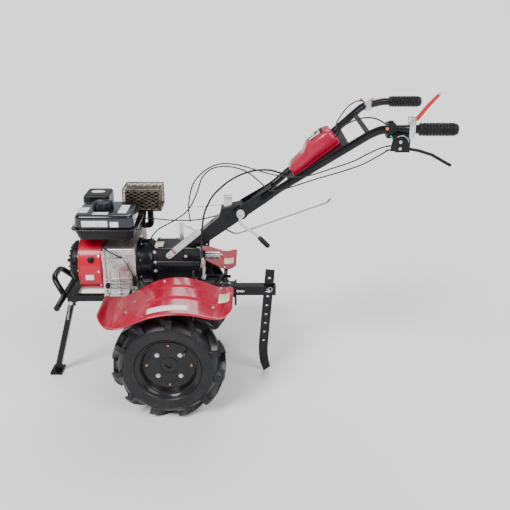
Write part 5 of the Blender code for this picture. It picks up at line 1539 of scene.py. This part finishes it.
class TRACTOR_OT_fenders(bpy.types.Operator):
    """Press the two fenders, with their ribs, bolts and blank labels"""

    bl_idname = "tractor.fenders"
    bl_label = "Fenders"

    def execute(self, context):
        for side, label in SIDES:
            make_fender(side, label, context.scene.tractor_sizes)
        return {"FINISHED"}


class TRACTOR_OT_tank(bpy.types.Operator):
    """Build the fuel tank and its lobed cap"""

    bl_idname = "tractor.tank"
    bl_label = "Fuel tank"

    def execute(self, context):
        make_tank()
        make_fuel_cap()
        return {"FINISHED"}


class TRACTOR_OT_engine(bpy.types.Operator):
    """Build the crankcase, cylinder, fan housing, starter and clutch bell"""

    bl_idname = "tractor.engine"
    bl_label = "Engine"

    def execute(self, context):
        make_engine_block()
        make_crankcase_fittings()
        make_cylinder(context.scene.tractor_sizes.fin_count)
        make_fan_housing()
        make_recoil_starter()
        make_bell()
        return {"FINISHED"}


class TRACTOR_OT_exhaust(bpy.types.Operator):
    """Build the muffler, its mesh guard and the air cleaner"""

    bl_idname = "tractor.exhaust"
    bl_label = "Exhaust and air cleaner"

    def execute(self, context):
        make_exhaust(context.scene.tractor_sizes)
        make_air_cleaner()
        return {"FINISHED"}


class TRACTOR_OT_gearbox(bpy.types.Operator):
    """Build the gearbox, its controls and the handle column"""

    bl_idname = "tractor.gearbox"
    bl_label = "Gearbox and column"

    def execute(self, context):
        make_gearbox()
        make_controls()
        make_column()
        return {"FINISHED"}


class TRACTOR_OT_chassis(bpy.types.Operator):
    """Build the engine frame, bumper, stand and hitch"""

    bl_idname = "tractor.chassis"
    bl_label = "Frame, stand and hitch"

    def execute(self, context):
        make_chassis()
        make_hitch_fittings()
        make_stand()
        return {"FINISHED"}


class TRACTOR_OT_handlebar(bpy.types.Operator):
    """Build the handlebar with its console, grips and levers"""

    bl_idname = "tractor.handlebar"
    bl_label = "Handlebar"

    def execute(self, context):
        make_handlebar(context.scene.tractor_sizes)
        return {"FINISHED"}


class TRACTOR_OT_cables(bpy.types.Operator):
    """Lay the control cables along their routes"""

    bl_idname = "tractor.cables"
    bl_label = "Cables"

    def execute(self, context):
        make_cables()
        return {"FINISHED"}


class TRACTOR_OT_stage(bpy.types.Operator):
    """Set the floor, the lights and the camera"""

    bl_idname = "tractor.stage"
    bl_label = "Stage"

    def execute(self, context):
        make_stage(context.scene)
        return {"FINISHED"}


def add_light(name, place, aim, spread, strength):
    """A soft far light, which reaches the whole floor evenly."""
    data = bpy.data.lights.new(name, "SUN")
    data.angle = math.radians(spread)
    data.energy = strength
    lamp = bpy.data.objects.new(name, data)
    lamp.location = place
    lamp.rotation_euler = (Vector(aim) - Vector(place)).to_track_quat("-Z", "Y").to_euler()
    bpy.context.scene.collection.objects.link(lamp)


def make_stage(scene):
    floor = bpy.data.meshes.new("floor")
    bm = bmesh.new()
    bmesh.ops.create_grid(bm, x_segments=1, y_segments=1, size=90.0)
    bm.to_mesh(floor)
    bm.free()
    paper = bpy.data.materials.new("floor_paper")
    paper.use_nodes = True
    shader = paper.node_tree.nodes["Principled BSDF"]
    shader.inputs["Base Color"].default_value = (0.94, 0.94, 0.94, 1.0)
    shader.inputs["Roughness"].default_value = 0.9
    floor.materials.append(paper)
    ground = bpy.data.objects.new("floor", floor)
    scene.collection.objects.link(ground)
    world = bpy.data.worlds.new("studio")
    world.use_nodes = True
    world.node_tree.nodes["Background"].inputs["Color"].default_value = (1.0, 1.0, 1.0, 1.0)
    world.node_tree.nodes["Background"].inputs["Strength"].default_value = 0.42
    scene.world = world
    add_light("key", (-1.6, -2.4, 3.6), (0.0, 0.0, 0.4), 22, 2.8)
    add_light("fill", (2.4, -2.2, 3.0), (0.0, 0.0, 0.4), 34, 1.5)
    add_light("back", (0.2, 2.6, 3.4), (0.0, 0.0, 0.4), 30, 1.2)
    data = bpy.data.cameras.new("camera")
    data.lens = 48.7
    data.sensor_width = 36.0
    camera = bpy.data.objects.new("camera", data)
    camera.location = at(*CAMERA_AT)
    camera.rotation_euler = (math.pi / 2 - CAMERA_PITCH, 0.0, 0.0)
    scene.collection.objects.link(camera)
    scene.camera = camera


STEPS = (
    TRACTOR_OT_finishes, TRACTOR_OT_stage, TRACTOR_OT_cables, TRACTOR_OT_wheels,
    TRACTOR_OT_fenders, TRACTOR_OT_tank, TRACTOR_OT_engine, TRACTOR_OT_exhaust,
    TRACTOR_OT_gearbox, TRACTOR_OT_chassis, TRACTOR_OT_handlebar,
)


class TRACTOR_PT_panel(bpy.types.Panel):
    """Lists the steps that build the tractor's looks"""

    bl_idname = "TRACTOR_PT_panel"
    bl_label = "Hand tractor"
    bl_space_type = "VIEW_3D"
    bl_region_type = "UI"
    bl_category = "Tractor"

    def draw(self, context):
        for group in (context.scene.tractor_sizes, context.scene.tractor_colours):
            for name in group.__annotations__:
                self.layout.prop(group, name)
        for step in STEPS:
            self.layout.operator(step.bl_idname)


CLASSES = (TractorSizes, TractorColours, *STEPS, TRACTOR_PT_panel)


def register():
    for item in CLASSES:
        bpy.utils.register_class(item)
    bpy.types.Scene.tractor_sizes = bpy.props.PointerProperty(type=TractorSizes)
    bpy.types.Scene.tractor_colours = bpy.props.PointerProperty(type=TractorColours)


def unregister():
    del bpy.types.Scene.tractor_colours
    del bpy.types.Scene.tractor_sizes
    for item in reversed(CLASSES):
        bpy.utils.unregister_class(item)


def main():
    register()
    for step in STEPS:
        group, name = step.bl_idname.split(".")
        getattr(getattr(bpy.ops, group), name)()


if __name__ == "__main__":
    main()
